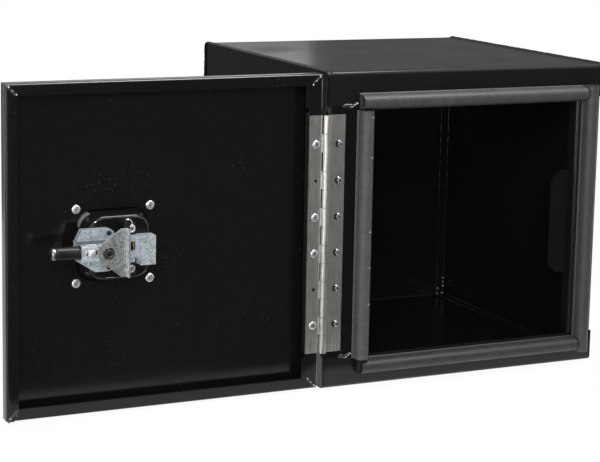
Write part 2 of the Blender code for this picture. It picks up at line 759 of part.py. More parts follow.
def bolt_core():
    """Round bolt with a plain head at its tip and a notch underneath for the paddle's tail."""
    tip = LATCH_X + BOLT_TIP_U
    end = LATCH_X + CORE_BACK_U
    bolt_y = lift(BOLT_LIFT)
    head = SLEEVE_D / 2 - FIT / 3
    core = turned([
        (0, tip),
        (head * 0.8, tip),
        (head, tip + TIP_LENGTH * 0.3),
        (head, tip + TIP_LENGTH),
        (CORE_D / 2, tip + TIP_LENGTH),
        (CORE_D / 2, end),
        (0, end),
    ], "YZ", (bolt_y, BOLT_Z))
    nose_x = LATCH_X + PIVOT_U - PADDLE_ARM * math.sin(PADDLE_SWING / 2)
    nose_top = PIVOT_LIFT + PADDLE_ARM + TAIL_NOSE_D / 2 + TAIL_PLAY
    room = TAIL_NOSE_D / 2 + TAIL_PLAY
    notch = block(nose_x - room, nose_x + room, lift(nose_top), bolt_y + CORE_D,
                  BOLT_Z - CORE_D, BOLT_Z + CORE_D)
    return cut(core, notch)


def bolt_sleeve():
    start = LATCH_X + BOLT_TIP_U + TIP_LENGTH + FIT
    end = start + SLEEVE_LENGTH
    inner = CORE_D / 2 + FIT
    outer = SLEEVE_D / 2
    centre = (lift(BOLT_LIFT), BOLT_Z)
    profile = [(0, start), (outer - EDGE_BREAK, start), (outer, start + EDGE_BREAK)]
    profile += [(outer, end - EDGE_BREAK), (outer - EDGE_BREAK, end), (0, end)]
    shell = turned(profile, "YZ", centre)
    return cut(shell, prism(circle(*centre, inner), "YZ", start - outer, end + outer))


def pull_plate_levels():
    near = lift(HOUSING_TOP + 2 * FIT)
    return near, near - PULL_PLATE


def tangent_turn(across, up, radius):
    """Angle from a circle's centre to where a line from the point (across, up) touches its far side."""
    return math.atan2(up, across) + math.acos(radius / math.hypot(across, up))


def pull_plate():
    """Three-cornered plate above the housing, rounded about its stud, with one edge folded up."""
    near, far = pull_plate_levels()
    stud_x = LATCH_X + STUD_U
    back = LATCH_X + PULL_BACK_U
    low = LATCH_Z + PULL_LOW_W
    high = LATCH_Z + PULL_HIGH_W
    flat = back - PULL_FLAT
    high_turn = tangent_turn(flat - stud_x, high - BOLT_Z, PULL_TIP_R)
    low_turn = math.tau - tangent_turn(flat - stud_x, BOLT_Z - low, PULL_TIP_R)
    outline = arc(stud_x, BOLT_Z, PULL_TIP_R, low_turn, high_turn, 8)
    outline += [(flat, high), (back, high), (back, low), (flat, low)]
    plate = prism(outline, "XZ", far, near)
    lip = block(back - PULL_PLATE, back, far - PULL_LIP, near - PULL_PLATE / 2, low, high)
    drill = prism(circle(stud_x, BOLT_Z, STUD_D / 2 + FIT, 12), "XZ", far - PULL_PLATE, near + PULL_PLATE)
    return cut(joined(plate, lip), drill)


def pull_stud():
    """Stud from the bolt's flank up through the pull plate to its nut."""
    core_top = lift(BOLT_LIFT) - CORE_D / 2 - FIT
    _, far = pull_plate_levels()
    end = far - FIT - NUT_H - STUD_PROUD
    radius = STUD_D / 2
    profile = [(0, core_top), (radius, core_top), (radius, end + EDGE_BREAK)]
    profile += [(radius - EDGE_BREAK, end), (0, end)]
    return turned(profile, "XZ", (LATCH_X + STUD_U, BOLT_Z), 12)


def pull_nut():
    _, far = pull_plate_levels()
    near = far - FIT
    centre = (LATCH_X + STUD_U, BOLT_Z)
    body = prism(hexagon(*centre, NUT_AF), "XZ", near - NUT_H, near)
    return cut(body, prism(circle(*centre, STUD_D / 2 + FIT, 12), "XZ", near - 2 * NUT_H, near + NUT_H))


# Paddle
def paddle_handle():
    """Pull plate with a folded grip, a barrel on the pivot pin and a tail that reaches the bolt."""
    left = LATCH_X + PADDLE_LEFT_U
    right = LATCH_X + PADDLE_RIGHT_U
    low = LATCH_Z + PADDLE_LOW_W
    high = LATCH_Z + PADDLE_HIGH_W
    pivot_x = LATCH_X + PIVOT_U
    pivot_y = lift(PIVOT_LIFT)
    outside = lift(PADDLE_FACE)
    inside = outside - PADDLE_SHEET
    plate = prism(rounded((left + right) / 2, (low + high) / 2, right - left, high - low, PADDLE_CORNER),
                  "XZ", inside, outside)
    grip = block(right - PADDLE_SHEET, right, inside - PADDLE_GRIP, inside + PADDLE_SHEET / 2,
                 low + PADDLE_CORNER, high - PADDLE_CORNER)
    barrel_r = BARREL_D / 2
    barrel = prism(circle(pivot_x, pivot_y, barrel_r), "XY", BOLT_Z - BARREL_HALF, BOLT_Z + BARREL_HALF)
    web = block(pivot_x - barrel_r * 0.6, pivot_x + barrel_r * 0.6, pivot_y, inside + PADDLE_SHEET / 2,
                BOLT_Z - BARREL_HALF, BOLT_Z + BARREL_HALF)
    lean = PADDLE_SWING / 2
    along = Vector((-math.sin(lean), -math.cos(lean)))
    across = Vector((math.cos(lean), -math.sin(lean))) * (TAIL_SHEET / 2)
    root = Vector((pivot_x, pivot_y))
    tip = root + along * PADDLE_ARM
    bar = [root + across, tip + across, tip - across, root - across]
    tail = prism([tuple(p) for p in bar], "XY", BOLT_Z - TAIL_HALF, BOLT_Z + TAIL_HALF)
    nose = prism(circle(*tip, TAIL_NOSE_D / 2, 12), "XY", BOLT_Z - TAIL_HALF, BOLT_Z + TAIL_HALF)
    pin_drill = prism(circle(pivot_x, pivot_y, PADDLE_PIN_D / 2 + FIT, 12), "XY",
                      BOLT_Z - 2 * BARREL_HALF, BOLT_Z + 2 * BARREL_HALF)
    return cut(joined(plate, grip, web, barrel, tail, nose), pin_drill)


def paddle_pin():
    reach = EAR_HALF + EAR_SHEET + PADDLE_PIN_PROUD
    return prism(circle(LATCH_X + PIVOT_U, lift(PIVOT_LIFT), PADDLE_PIN_D / 2, 12), "XY",
                 BOLT_Z - reach, BOLT_Z + reach)


def paddle_spring():
    """Torsion spring on the pin between the barrel and the upper ear, one unbroken wire."""
    pivot_x = LATCH_X + PIVOT_U
    pivot_y = lift(PIVOT_LIFT)
    low = BOLT_Z + BARREL_HALF + SPRING_WIRE / 2 + FIT
    high = BOLT_Z + EAR_HALF - SPRING_WIRE / 2 - FIT
    radius = SPRING_COIL_D / 2
    steps = 9
    count = SPRING_TURNS * steps
    leg = 2 * SPRING_COIL_D
    path = [Vector((pivot_x + leg, pivot_y - radius, low))]
    for i in range(count + 1):
        turn = math.tau * i / steps - math.pi / 2
        height = low + (high - low) * i / count
        path.append(Vector((pivot_x + radius * math.cos(turn), pivot_y + radius * math.sin(turn), height)))
    path.append(Vector((pivot_x + leg, pivot_y - radius, high)))
    coil = path[1:-1]
    least = min((a - b).length for i, a in enumerate(coil) for b in coil[i + steps - 1:]) - SPRING_WIRE
    print("paddle spring least gap to itself, mm: %.2f" % (least * 1000))
    curve = bpy.data.curves.new("paddle_spring_path", "CURVE")
    curve.dimensions = "3D"
    curve.bevel_depth = SPRING_WIRE / 2
    curve.bevel_resolution = 1
    curve.use_fill_caps = True
    spline = curve.splines.new("POLY")
    spline.points.add(len(path) - 1)
    for point, place in zip(spline.points, path):
        point.co = (*place, 1)
    wire = bpy.data.objects.new("paddle_spring_path", curve)
    bpy.context.scene.collection.objects.link(wire)
    graph = bpy.context.evaluated_depsgraph_get()
    shape = bmesh.new()
    shape.from_mesh(wire.evaluated_get(graph).to_mesh())
    bpy.data.objects.remove(wire, do_unlink=True)
    return shape


# Keeper and key lock
def keeper_bracket():
    """Pressed cover on the pan's floor: a closed box, a lower neck and two riveted feet."""
    base = lift(HOUSING_BASE)
    top = lift(KEEPER_TOP)
    left = LATCH_X + KEEPER_LEFT_U
    right = LATCH_X + KEEPER_RIGHT_U
    low = LATCH_Z + KEEPER_LOW_W
    high = LATCH_Z + KEEPER_HIGH_W
    sheet = KEEPER_SHEET
    neck_x = LATCH_X + NECK_LEFT_U
    neck_low = LATCH_Z + NECK_LOW_W
    neck_high = LATCH_Z + NECK_HIGH_W
    foot_left = LATCH_X + FOOT_LEFT_U
    foot_right = LATCH_X + FOOT_RIGHT_U
    box = block(left, right, top, base, low, high)
    neck = block(neck_x, left + sheet, lift(NECK_TOP), base, neck_low, neck_high)
    feet = block(foot_left, foot_right, base - sheet, base, low - FOOT_REACH, high + FOOT_REACH)
    hollow = block(left + sheet, right - sheet, top + sheet, base + sheet, low + sheet, high - sheet)
    neck_hollow = block(neck_x + sheet, left + 2 * sheet, lift(NECK_TOP) + sheet, base + sheet,
                        neck_low + sheet, neck_high - sheet)
    window = block(neck_x + 2 * sheet, neck_x + 2 * sheet + WINDOW_W, lift(NECK_TOP) - sheet,
                   lift(NECK_TOP) + 2 * sheet, LATCH_Z + WINDOW_LOW_W, LATCH_Z + WINDOW_HIGH_W)
    drill = holes(keeper_rivet_places(), RIVET_HOLE_D, "XZ", base - 2 * sheet, base + sheet)
    return cut(joined(box, neck, feet), hollow, neck_hollow, window, drill)


def lock_centre():
    return LATCH_X + LOCK_U, LATCH_Z + LOCK_W


def lock_cylinder():
    floor_inside = lift(PAN_HEIGHT - PAN_SHEET)
    head = floor_inside + FIT
    end = lift(LOCK_TOP)
    shell = turned([
        (0, head + LOCK_HEAD),
        (LOCK_HEAD_D / 2 - EDGE_BREAK, head + LOCK_HEAD),
        (LOCK_HEAD_D / 2, head + LOCK_HEAD - EDGE_BREAK),
        (LOCK_HEAD_D / 2, head),
        (LOCK_D / 2, head),
        (LOCK_D / 2, end),
        (0, end),
    ], "XZ", lock_centre())
    bore = prism(circle(*lock_centre(), LOCK_PLUG_D / 2 + FIT), "XZ", end - LOCK_D, head + LOCK_D)
    return cut(shell, bore)


def lock_plug():
    face = lift(PAN_HEIGHT - PAN_SHEET) + FIT + LOCK_HEAD
    centre = lock_centre()
    plug = prism(circle(*centre, LOCK_PLUG_D / 2), "XZ", lift(LOCK_TOP), face)
    slot = block(centre[0] - KEY_SLOT_W / 2, centre[0] + KEY_SLOT_W / 2, face - KEY_SLOT_DEPTH,
                 face + KEY_SLOT_DEPTH, centre[1] - KEY_SLOT_H / 2, centre[1] + KEY_SLOT_H / 2)
    return cut(plug, slot)


def lock_nut():
    near = lift(HOUSING_BASE)
    body = prism(hexagon(*lock_centre(), LOCK_NUT_AF), "XZ", near - LOCK_NUT_H, near)
    bore = prism(circle(*lock_centre(), LOCK_D / 2 + FIT), "XZ", near - 2 * LOCK_NUT_H, near + LOCK_NUT_H)
    return cut(body, bore)


def lock_cam():
    near = lift(LOCK_TOP + FIT)
    x, z = lock_centre()
    half = CAM_W / 2
    outline = arc(x, z, half, 0, math.pi, 8)
    outline += arc(x, z - CAM_LENGTH + half, half, math.pi, math.tau, 8)
    return prism(outline, "XZ", near - CAM_SHEET, near)


def build():
    clear_scene()
    black = finish("black_powder_coat", (0.012, 0.012, 0.013), 0.32, 0.0)
    rubber = finish("seal_rubber", (0.03, 0.03, 0.03), 0.55, 0.0)
    stainless = finish("stainless_steel", (0.46, 0.45, 0.42), 0.35, 1.0)
    rivet_steel = finish("rivet_steel", (0.42, 0.41, 0.39), 0.35, 1.0)
    zinc = finish("zinc_plate", (0.5, 0.53, 0.58), 0.32, 1.0)
    black_plastic = finish("black_plastic", (0.015, 0.015, 0.016), 0.4, 0.0)
    brass = finish("cam_brass", (0.55, 0.42, 0.18), 0.35, 1.0)

    assembly = empty("assembly", (-BOX_W / 2, -BOX_D / 2, 0))
    assembly["working_place"] = (0, 0, 0)
    hinge_axis = (AXIS_X, AXIS_Y, HINGE_MIDDLE)
    door = empty("door_axis", hinge_axis, assembly)
    door["working_place"] = hinge_axis

    def door_carrier(name, place):
        carrier = empty(name, Vector(place) - Vector(hinge_axis), door)
        carrier["working_place"] = place
        return carrier

    bolt = door_carrier("bolt_axis", (LATCH_X + BOLT_TIP_U, lift(BOLT_LIFT), BOLT_Z))
    paddle = door_carrier("paddle_axis", (LATCH_X + PIVOT_U, lift(PIVOT_LIFT), BOLT_Z))
    key = door_carrier("key_axis", (lock_centre()[0], lift(LOCK_TOP), lock_centre()[1]))

    solid("box_wrapper", wrapper(), black, assembly)
    solid("left_end_plate", left_end_plate(), black, assembly)
    solid("right_end_plate", end_plate(True, RIGHT_FLANGE), black, assembly)
    solid("strike_bracket", strike_bracket(), black, assembly)

    top_z = BOX_H - TOP_SEAL_DROP - SEAL_W / 2
    low_z = BOTTOM_SEAL_RISE + SEAL_W / 2
    left_x = LEFT_SEAL_IN + SEAL_W / 2
    right_x = BOX_W - RIGHT_SEAL_IN - SEAL_W / 2
    inner_end = right_x - SEAL_W / 2 - FIT
    solid("top_seal", seal("YZ", top_z, TOP_SEAL_START, inner_end), rubber, assembly)
    solid("bottom_seal", seal("YZ", low_z, BOTTOM_SEAL_START, inner_end), rubber, assembly)
    left_seal = seal("XY", left_x, low_z + SEAL_W / 2 + FIT, top_z - SEAL_W / 2 - FIT)
    solid("left_seal", left_seal, rubber, assembly)
    solid("right_seal", seal("XY", right_x, low_z - SEAL_W / 2, top_z + SEAL_W / 2), rubber, assembly)

    box_knuckles = range(0, KNUCKLES, 2)
    door_knuckles = range(1, KNUCKLES, 2)
    box_leaf = hinge_leaf(BOX_LEAF_REACH, 1, box_knuckles, box_rivet_places())
    door_leaf = hinge_leaf(DOOR_LEAF_REACH, -1, door_knuckles, door_rivet_places())
    solid("hinge_leaf_box", box_leaf, stainless, assembly)
    solid("hinge_leaf_door", door_leaf, stainless, door)
    solid("hinge_pin", hinge_pin(), stainless, assembly)
    leaf_face = AXIS_Y + BARREL_R - LEAF
    for i, place in enumerate(box_rivet_places()):
        body = rivet(place, SHEET, leaf_face, RIVET_HEAD_D, RIVET_HEAD_H, RIVET_BULB_D, RIVET_BULB_H)
        solid("box_hinge_rivet_%d" % (i + 1), body, rivet_steel, assembly)
    for i, place in enumerate(door_rivet_places()):
        if i not in EMPTY_DOOR_HOLES:
            body = rivet(place, leaf_face, SHEET, RIVET_HEAD_D, RIVET_HEAD_H, RIVET_BULB_D, RIVET_BULB_H)
            solid("door_hinge_rivet_%d" % (i + 1), body, rivet_steel, door)

    solid("door_panel", door_panel(), black, door)
    solid("latch_pan", latch_pan(), black, door)
    solid("pan_gasket", pan_gasket(), rubber, door)
    _, flange_face = pan_flange_levels()
    for i, place in enumerate(pan_rivet_places()):
        body = rivet(place, flange_face, SKIN_Y, RIVET_HEAD_D, RIVET_HEAD_H,
                     PAN_RIVET_TAIL_D, PAN_RIVET_TAIL_H)
        solid("pan_rivet_%d" % (i + 1), body, rivet_steel, door)
    solid("bolt_housing", bolt_housing(), zinc, door)
    pan_inside = lift(PAN_HEIGHT - PAN_SHEET)
    for i, place in enumerate(housing_rivet_places()):
        body = rivet(place, lift(HOUSING_STEP), pan_inside, HOUSING_RIVET_D, HOUSING_RIVET_H,
                     FLOOR_RIVET_TAIL_D, FLOOR_RIVET_TAIL_H)
        solid("housing_rivet_%d" % (i + 1), body, rivet_steel, door)
    solid("keeper_bracket", keeper_bracket(), zinc, door)
    for i, place in enumerate(keeper_rivet_places()):
        foot_top = lift(HOUSING_BASE + KEEPER_SHEET)
        body = rivet(place, foot_top, pan_inside, KEEPER_RIVET_D, KEEPER_RIVET_H,
                     FLOOR_RIVET_TAIL_D, FLOOR_RIVET_TAIL_H)
        solid("keeper_rivet_%d" % (i + 1), body, rivet_steel, door)

    solid("bolt_core", bolt_core(), zinc, bolt)
    solid("bolt_sleeve", bolt_sleeve(), black_plastic, bolt)
    solid("pull_plate", pull_plate(), zinc, bolt)
    solid("pull_stud", pull_stud(), zinc, bolt)
    solid("pull_nut", pull_nut(), zinc, bolt)

    solid("paddle_handle", paddle_handle(), black, paddle)
    solid("paddle_pin", paddle_pin(), zinc, door)
    solid("paddle_spring", paddle_spring(), zinc, door)

    solid("lock_cylinder", lock_cylinder(), zinc, door)
    solid("lock_nut", lock_nut(), zinc, door)
    solid("lock_plug", lock_plug(), brass, key)
    solid("lock_cam", lock_cam(), brass, key)
    print("bolt travel m: %.5f, ratio m per rad: %.5f" % (BOLT_TRAVEL, BOLT_TRAVEL / PADDLE_SWING))


build()
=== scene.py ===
"""Looks of the truck tool box: finishes, rubber seals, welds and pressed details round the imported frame."""
import json
import math

import bmesh
import bpy
from mathutils import Matrix, Vector, noise


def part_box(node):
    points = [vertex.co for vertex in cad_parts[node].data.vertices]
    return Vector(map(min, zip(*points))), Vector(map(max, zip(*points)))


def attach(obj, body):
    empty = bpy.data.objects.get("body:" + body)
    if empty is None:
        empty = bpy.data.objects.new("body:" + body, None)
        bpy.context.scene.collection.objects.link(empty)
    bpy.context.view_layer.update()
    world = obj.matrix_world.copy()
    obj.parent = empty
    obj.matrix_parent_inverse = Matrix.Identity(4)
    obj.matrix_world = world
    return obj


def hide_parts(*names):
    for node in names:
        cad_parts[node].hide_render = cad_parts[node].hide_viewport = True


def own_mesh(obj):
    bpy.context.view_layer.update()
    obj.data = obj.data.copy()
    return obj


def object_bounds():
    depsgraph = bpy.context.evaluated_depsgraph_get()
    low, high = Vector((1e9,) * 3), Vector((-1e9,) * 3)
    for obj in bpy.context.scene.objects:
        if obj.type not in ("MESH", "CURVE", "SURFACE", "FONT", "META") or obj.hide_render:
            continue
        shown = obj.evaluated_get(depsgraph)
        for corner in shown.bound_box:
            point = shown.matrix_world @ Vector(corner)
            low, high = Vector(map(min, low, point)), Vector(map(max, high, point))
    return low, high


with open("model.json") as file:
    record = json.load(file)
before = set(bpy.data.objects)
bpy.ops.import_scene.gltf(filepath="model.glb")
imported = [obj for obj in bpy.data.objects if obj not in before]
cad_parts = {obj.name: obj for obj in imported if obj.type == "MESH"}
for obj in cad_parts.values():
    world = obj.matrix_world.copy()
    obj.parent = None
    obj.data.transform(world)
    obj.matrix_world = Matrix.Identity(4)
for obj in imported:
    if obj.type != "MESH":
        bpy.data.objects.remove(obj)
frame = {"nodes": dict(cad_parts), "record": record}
cad_low, cad_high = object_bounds()

# Camera of the photograph, in metres and degrees
CAMERA_PLACE = (-1.3269, -2.47271, 0.725)
CAMERA_YAW = 25.208
CAMERA_PITCH = 9.25
CAMERA_ROLL = 1.141
CAMERA_LENS = 108.003
CAMERA_SHIFT_Y = -0.1017

# Light levels
SKY_FILL = 0.3
FRONT_CARD_TONE = 0.085
BACK_CARD_TONE = 0.135
FLOOR_COLOUR = (0.86, 0.86, 0.86, 1)
FLOOR_WHITE_SHARE = 0.94

# Seal profile, metres
SEAL_LIP = 0.0018
SEAL_LIP_REACH = 0.0016
SEAL_WALL = 0.0028
SEAL_SQUARENESS = 0.82
SEAL_STATIONS = 120
SEAL_ARC_STEPS = 26

# Edges of the sheet pieces, metres
SHEET_EDGE = 0.0008
FITTING_EDGE = 0.0006
SMOOTH_ANGLE = 32

# Middle of the latch on the open door, and the door's inner skin
SHEET = 0.002
latch_low, latch_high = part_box("latch_pan")
LATCH_MIDDLE = (latch_low + latch_high) / 2
DOOR_SKIN_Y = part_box("door_panel")[1].y - SHEET

# Painted highlight: pale wedge on the latch pan's upper corner, metres, and how it widens with height
WEDGE_FOOT = 0.022
WEDGE_DEPTH = 0.002
WEDGE_BLUR = 0.0008
WEDGE_TAPER = 0.23

# Welds and laps, metres
BOX_BEND = 0.007
LAP = 0.015
TOP_FLANGE_EDGE = 0.4081
LOW_FLANGE_EDGE = 0.0462
CORNER_LIP = 0.016
CORNER_INSET = 0.0015


# Node helpers
class Web:
    """Places and links shader nodes in one tree, left to right."""

    def __init__(self, tree):
        self.tree = tree
        self.column = 0

    def add(self, kind, **settings):
        node = self.tree.nodes.new(kind)
        node.location = (220 * self.column, 0)
        self.column += 1
        for key, value in settings.items():
            if key in node.inputs:
                node.inputs[key].default_value = value
            else:
                setattr(node, key, value)
        return node

    def link(self, source, target):
        self.tree.links.new(source, target)

    def math(self, operation, first, second=None, clamp=False):
        node = self.add("ShaderNodeMath", operation=operation, use_clamp=clamp)
        for socket, value in zip(node.inputs, (first, second)):
            self.feed(socket, value)
        return node.outputs[0]

    def feed(self, socket, value):
        if value is None:
            return
        if isinstance(value, bpy.types.NodeSocket):
            self.link(value, socket)
        else:
            socket.default_value = value

    def blend(self, factor, first, second):
        node = self.add("ShaderNodeMix", data_type="RGBA")
        self.feed(node.inputs["Factor"], factor)
        self.feed(node.inputs["A"], first)
        self.feed(node.inputs["B"], second)
        return node.outputs["Result"]

    def spread(self, value, low, high, to_low=0.0, to_high=1.0):
        node = self.add("ShaderNodeMapRange")
        self.feed(node.inputs["Value"], value)
        node.inputs["From Min"].default_value = low
        node.inputs["From Max"].default_value = high
        node.inputs["To Min"].default_value = to_low
        node.inputs["To Max"].default_value = to_high
        return node.outputs["Result"]


def effect_group(name, inputs, outputs):
    """A shader node group with named number inputs and outputs, and its node helper."""
    tree = bpy.data.node_groups.new(name, "ShaderNodeTree")
    for label, value in inputs.items():
        socket = tree.interface.new_socket(label, in_out="INPUT", socket_type="NodeSocketFloat")
        socket.default_value = value
    for label in outputs:
        tree.interface.new_socket(label, in_out="OUTPUT", socket_type="NodeSocketFloat")
    web = Web(tree)
    start = web.add("NodeGroupInput")
    end = web.add("NodeGroupOutput")
    return tree, web, start.outputs, end.inputs


def orange_peel_group():
    """Powder coat's fine dimpled skin, with slow changes of gloss over a panel."""
    tree, web, given, out = effect_group("orange_peel", {"Peel Scale": 650.0, "Cloud Scale": 9.0},
                                         ("Height", "Gloss Shift", "Tone Shift"))
    place = web.add("ShaderNodeTexCoord").outputs["Object"]
    peel = web.add("ShaderNodeTexNoise", Detail=2.0)
    web.link(place, peel.inputs["Vector"])
    web.link(given["Peel Scale"], peel.inputs["Scale"])
    cloud = web.add("ShaderNodeTexNoise", Detail=3.0)
    web.link(place, cloud.inputs["Vector"])
    web.link(given["Cloud Scale"], cloud.inputs["Scale"])
    web.link(peel.outputs["Fac"], out["Height"])
    web.link(web.spread(cloud.outputs["Fac"], 0.3, 0.7, -1.0, 1.0), out["Gloss Shift"])
    web.link(web.spread(peel.outputs["Fac"], 0.3, 0.7, -1.0, 1.0), out["Tone Shift"])
    return tree


def dust_group():
    """Sparse pale specks that lie on a dark finish, thicker in patches and near the latch."""
    tree, web, given, out = effect_group("dust_specks", {"Speck Scale": 130.0, "Amount": 0.1}, ("Mask",))
    place = web.add("ShaderNodeTexCoord").outputs["Object"]
    cells = web.add("ShaderNodeTexVoronoi", feature="F1")
    web.link(place, cells.inputs["Vector"])
    web.link(given["Speck Scale"], cells.inputs["Scale"])
    patches = web.add("ShaderNodeTexNoise", Scale=14.0, Detail=2.0)
    web.link(place, patches.inputs["Vector"])
    spot = web.math("LESS_THAN", cells.outputs["Distance"], given["Amount"])
    offset = web.add("ShaderNodeVectorMath", operation="DISTANCE")
    web.link(place, offset.inputs[0])
    offset.inputs[1].default_value = LATCH_MIDDLE
    near = web.spread(offset.outputs["Value"], 0.05, 0.13, 0.14, 0.0)
    thick = web.spread(web.math("ADD", patches.outputs["Fac"], near), 0.58, 0.8)
    web.link(web.math("MULTIPLY", spot, thick, clamp=True), out["Mask"])
    return tree


def drawn_lines_group():
    """Fine lines left by rolling or brushing, long in one direction."""
    tree, web, given, out = effect_group(
        "drawn_lines", {"Along X": 1.0, "Along Y": 1.0, "Along Z": 0.03, "Line Scale": 900.0},
        ("Height", "Tone Shift", "Patch"))
    place = web.add("ShaderNodeTexCoord").outputs["Object"]
    stretch = web.add("ShaderNodeCombineXYZ")
    web.link(given["Along X"], stretch.inputs["X"])
    web.link(given["Along Y"], stretch.inputs["Y"])
    web.link(given["Along Z"], stretch.inputs["Z"])
    drawn = web.add("ShaderNodeVectorMath", operation="MULTIPLY")
    web.link(place, drawn.inputs[0])
    web.link(stretch.outputs["Vector"], drawn.inputs[1])
    lines = web.add("ShaderNodeTexNoise", Detail=4.0)
    web.link(drawn.outputs["Vector"], lines.inputs["Vector"])
    web.link(given["Line Scale"], lines.inputs["Scale"])
    patch = web.add("ShaderNodeTexNoise", Scale=60.0, Detail=4.0)
    web.link(place, patch.inputs["Vector"])
    web.link(lines.outputs["Fac"], out["Height"])
    web.link(web.spread(lines.outputs["Fac"], 0.3, 0.7, -1.0, 1.0), out["Tone Shift"])
    web.link(web.spread(patch.outputs["Fac"], 0.35, 0.65), out["Patch"])
    return tree


EFFECTS = {"peel": orange_peel_group(), "dust": dust_group(), "lines": drawn_lines_group()}


def new_finish(name):
    material = bpy.data.materials.new(name)
    material.use_nodes = True
    web = Web(material.node_tree)
    shader = material.node_tree.nodes["Principled BSDF"]
    return material, web, shader


def effect(web, name, **values):
    node = web.add("ShaderNodeGroup", node_tree=EFFECTS[name])
    for label, value in values.items():
        node.inputs[label.replace("_", " ")].default_value = value
    return node.outputs


def bump(web, height, strength, distance):
    node = web.add("ShaderNodeBump", Strength=strength, Distance=distance)
    web.link(height, node.inputs["Height"])
    return node.outputs["Normal"]


def powder_coat(name, dark, light, roughness, dust=0.05, speck_scale=60.0, shine=0.35):
    material, web, shader = new_finish(name)
    shader.inputs["Specular IOR Level"].default_value = shine
    peel = effect(web, "peel")
    specks = effect(web, "dust", Amount=dust, Speck_Scale=speck_scale)
    tone = web.blend(web.spread(peel["Tone Shift"], -1, 1), (*dark, 1), (*light, 1))
    dusty = web.blend(web.math("MULTIPLY", specks["Mask"], 0.3), tone, (0.3, 0.3, 0.31, 1))
    web.link(dusty, shader.inputs["Base Color"])
    gloss = web.spread(peel["Gloss Shift"], -1, 1, roughness - 0.05, roughness + 0.07)
    web.link(gloss, shader.inputs["Roughness"])
    web.link(bump(web, peel["Height"], 0.12, 0.0004), shader.inputs["Normal"])
    return material


def bulb_rubber(name, along, tone_share):
    """Dusty sponge rubber; along stretches the fine cross marks for a strip that runs along X or Z.
    tone_share scales its brightness: on the seal strips it paints light and shade, on the creases it gives
    their pale colour.
    """
    material, web, shader = new_finish(name)
    shader.inputs["Specular IOR Level"].default_value = 0.5
    peel = effect(web, "peel", Peel_Scale=330.0, Cloud_Scale=60.0)
    marks = effect(web, "lines", Along_X=along[0], Along_Y=along[1], Along_Z=along[2], Line_Scale=260.0)
    specks = effect(web, "dust", Speck_Scale=240.0, Amount=0.12)
    pores = web.math("MULTIPLY", peel["Tone Shift"], 0.5)
    grain = web.math("ADD", pores, web.math("MULTIPLY", marks["Tone Shift"], 0.35))
    shift = web.math("ADD", web.math("MULTIPLY", peel["Gloss Shift"], 0.12), grain)
    dark = tuple(0.024 * tone_share * c for c in (1, 1, 1.04))
    light = tuple(0.062 * tone_share * c for c in (1, 1, 1.03))
    tone = web.blend(web.spread(shift, -1.2, 1.2), (*dark, 1), (*light, 1))
    dusty = web.blend(web.math("MULTIPLY", specks["Mask"], 0.5), tone, (0.3, 0.3, 0.3, 1))
    web.link(dusty, shader.inputs["Base Color"])
    web.link(web.spread(peel["Gloss Shift"], -1, 1, 0.4, 0.55), shader.inputs["Roughness"])
    web.link(bump(web, peel["Height"], 0.7, 0.0006), shader.inputs["Normal"])
    return material


def drawn_metal(name, dark, light, roughness, along, line_scale, depth, metallic=1.0):
    material, web, shader = new_finish(name)
    shader.inputs["Metallic"].default_value = metallic
    lines = effect(web, "lines", Along_X=along[0], Along_Y=along[1], Along_Z=along[2], Line_Scale=line_scale)
    streaks = web.math("MULTIPLY", lines["Tone Shift"], 0.45)
    grain = web.math("ADD", streaks, web.spread(lines["Patch"], 0, 1, 0.3, 0.7), clamp=True)
    web.link(web.blend(grain, (*dark, 1), (*light, 1)), shader.inputs["Base Color"])
    rough = web.spread(lines["Tone Shift"], -1, 1, roughness - 0.08, roughness + 0.1)
    web.link(rough, shader.inputs["Roughness"])
    web.link(bump(web, lines["Height"], depth, 0.0002), shader.inputs["Normal"])
    return material


def spangle_group():
    """Crystal grain of zinc plate: small patches of different brightness, with fine pits between."""
    tree, web, given, out = effect_group("zinc_spangle", {"Grain Scale": 360.0}, ("Tone", "Height"))
    place = web.add("ShaderNodeTexCoord").outputs["Object"]
    grain = web.add("ShaderNodeTexVoronoi", feature="F1")
    web.link(place, grain.inputs["Vector"])
    web.link(given["Grain Scale"], grain.inputs["Scale"])
    split = web.add("ShaderNodeSeparateColor")
    web.link(grain.outputs["Color"], split.inputs[0])
    fine = web.add("ShaderNodeTexNoise", Scale=480.0, Detail=3.0)
    web.link(place, fine.inputs["Vector"])
    broad = web.add("ShaderNodeTexNoise", Scale=110.0, Detail=2.0)
    web.link(place, broad.inputs["Vector"])
    crystal = web.math("MULTIPLY", split.outputs[0], 0.45)
    both = web.math("ADD", crystal, web.math("MULTIPLY", fine.outputs["Fac"], 0.6))
    shifted = web.math("ADD", both, web.math("MULTIPLY", broad.outputs["Fac"], 0.5))
    web.link(web.spread(shifted, 0.45, 1.1), out["Tone"])
    relief = web.math("MULTIPLY", split.outputs[1], 0.5)
    web.link(web.math("ADD", fine.outputs["Fac"], relief), out["Height"])
    return tree


EFFECTS["spangle"] = spangle_group()


def spangled_zinc(name, dark, light):
    material, web, shader = new_finish(name)
    shader.inputs["Metallic"].default_value = 0.68
    grain = effect(web, "spangle")
    web.link(web.blend(grain["Tone"], (*dark, 1), (*light, 1)), shader.inputs["Base Color"])
    web.link(web.spread(grain["Tone"], 0, 1, 0.5, 0.36), shader.inputs["Roughness"])
    web.link(bump(web, grain["Height"], 0.35, 0.0003), shader.inputs["Normal"])
    return material


def moulded_plastic():
    material, web, shader = new_finish("moulded_plastic")
    shader.inputs["Specular IOR Level"].default_value = 0.25
    peel = effect(web, "peel", Peel_Scale=1400.0, Cloud_Scale=40.0)
    cloud = web.spread(peel["Gloss Shift"], -1, 1)
    tone = web.blend(cloud, (0.006, 0.006, 0.0065, 1), (0.016, 0.016, 0.016, 1))
    web.link(tone, shader.inputs["Base Color"])
    web.link(web.spread(peel["Gloss Shift"], -1, 1, 0.3, 0.42), shader.inputs["Roughness"])
    web.link(bump(web, peel["Height"], 0.2, 0.0002), shader.inputs["Normal"])
    return material


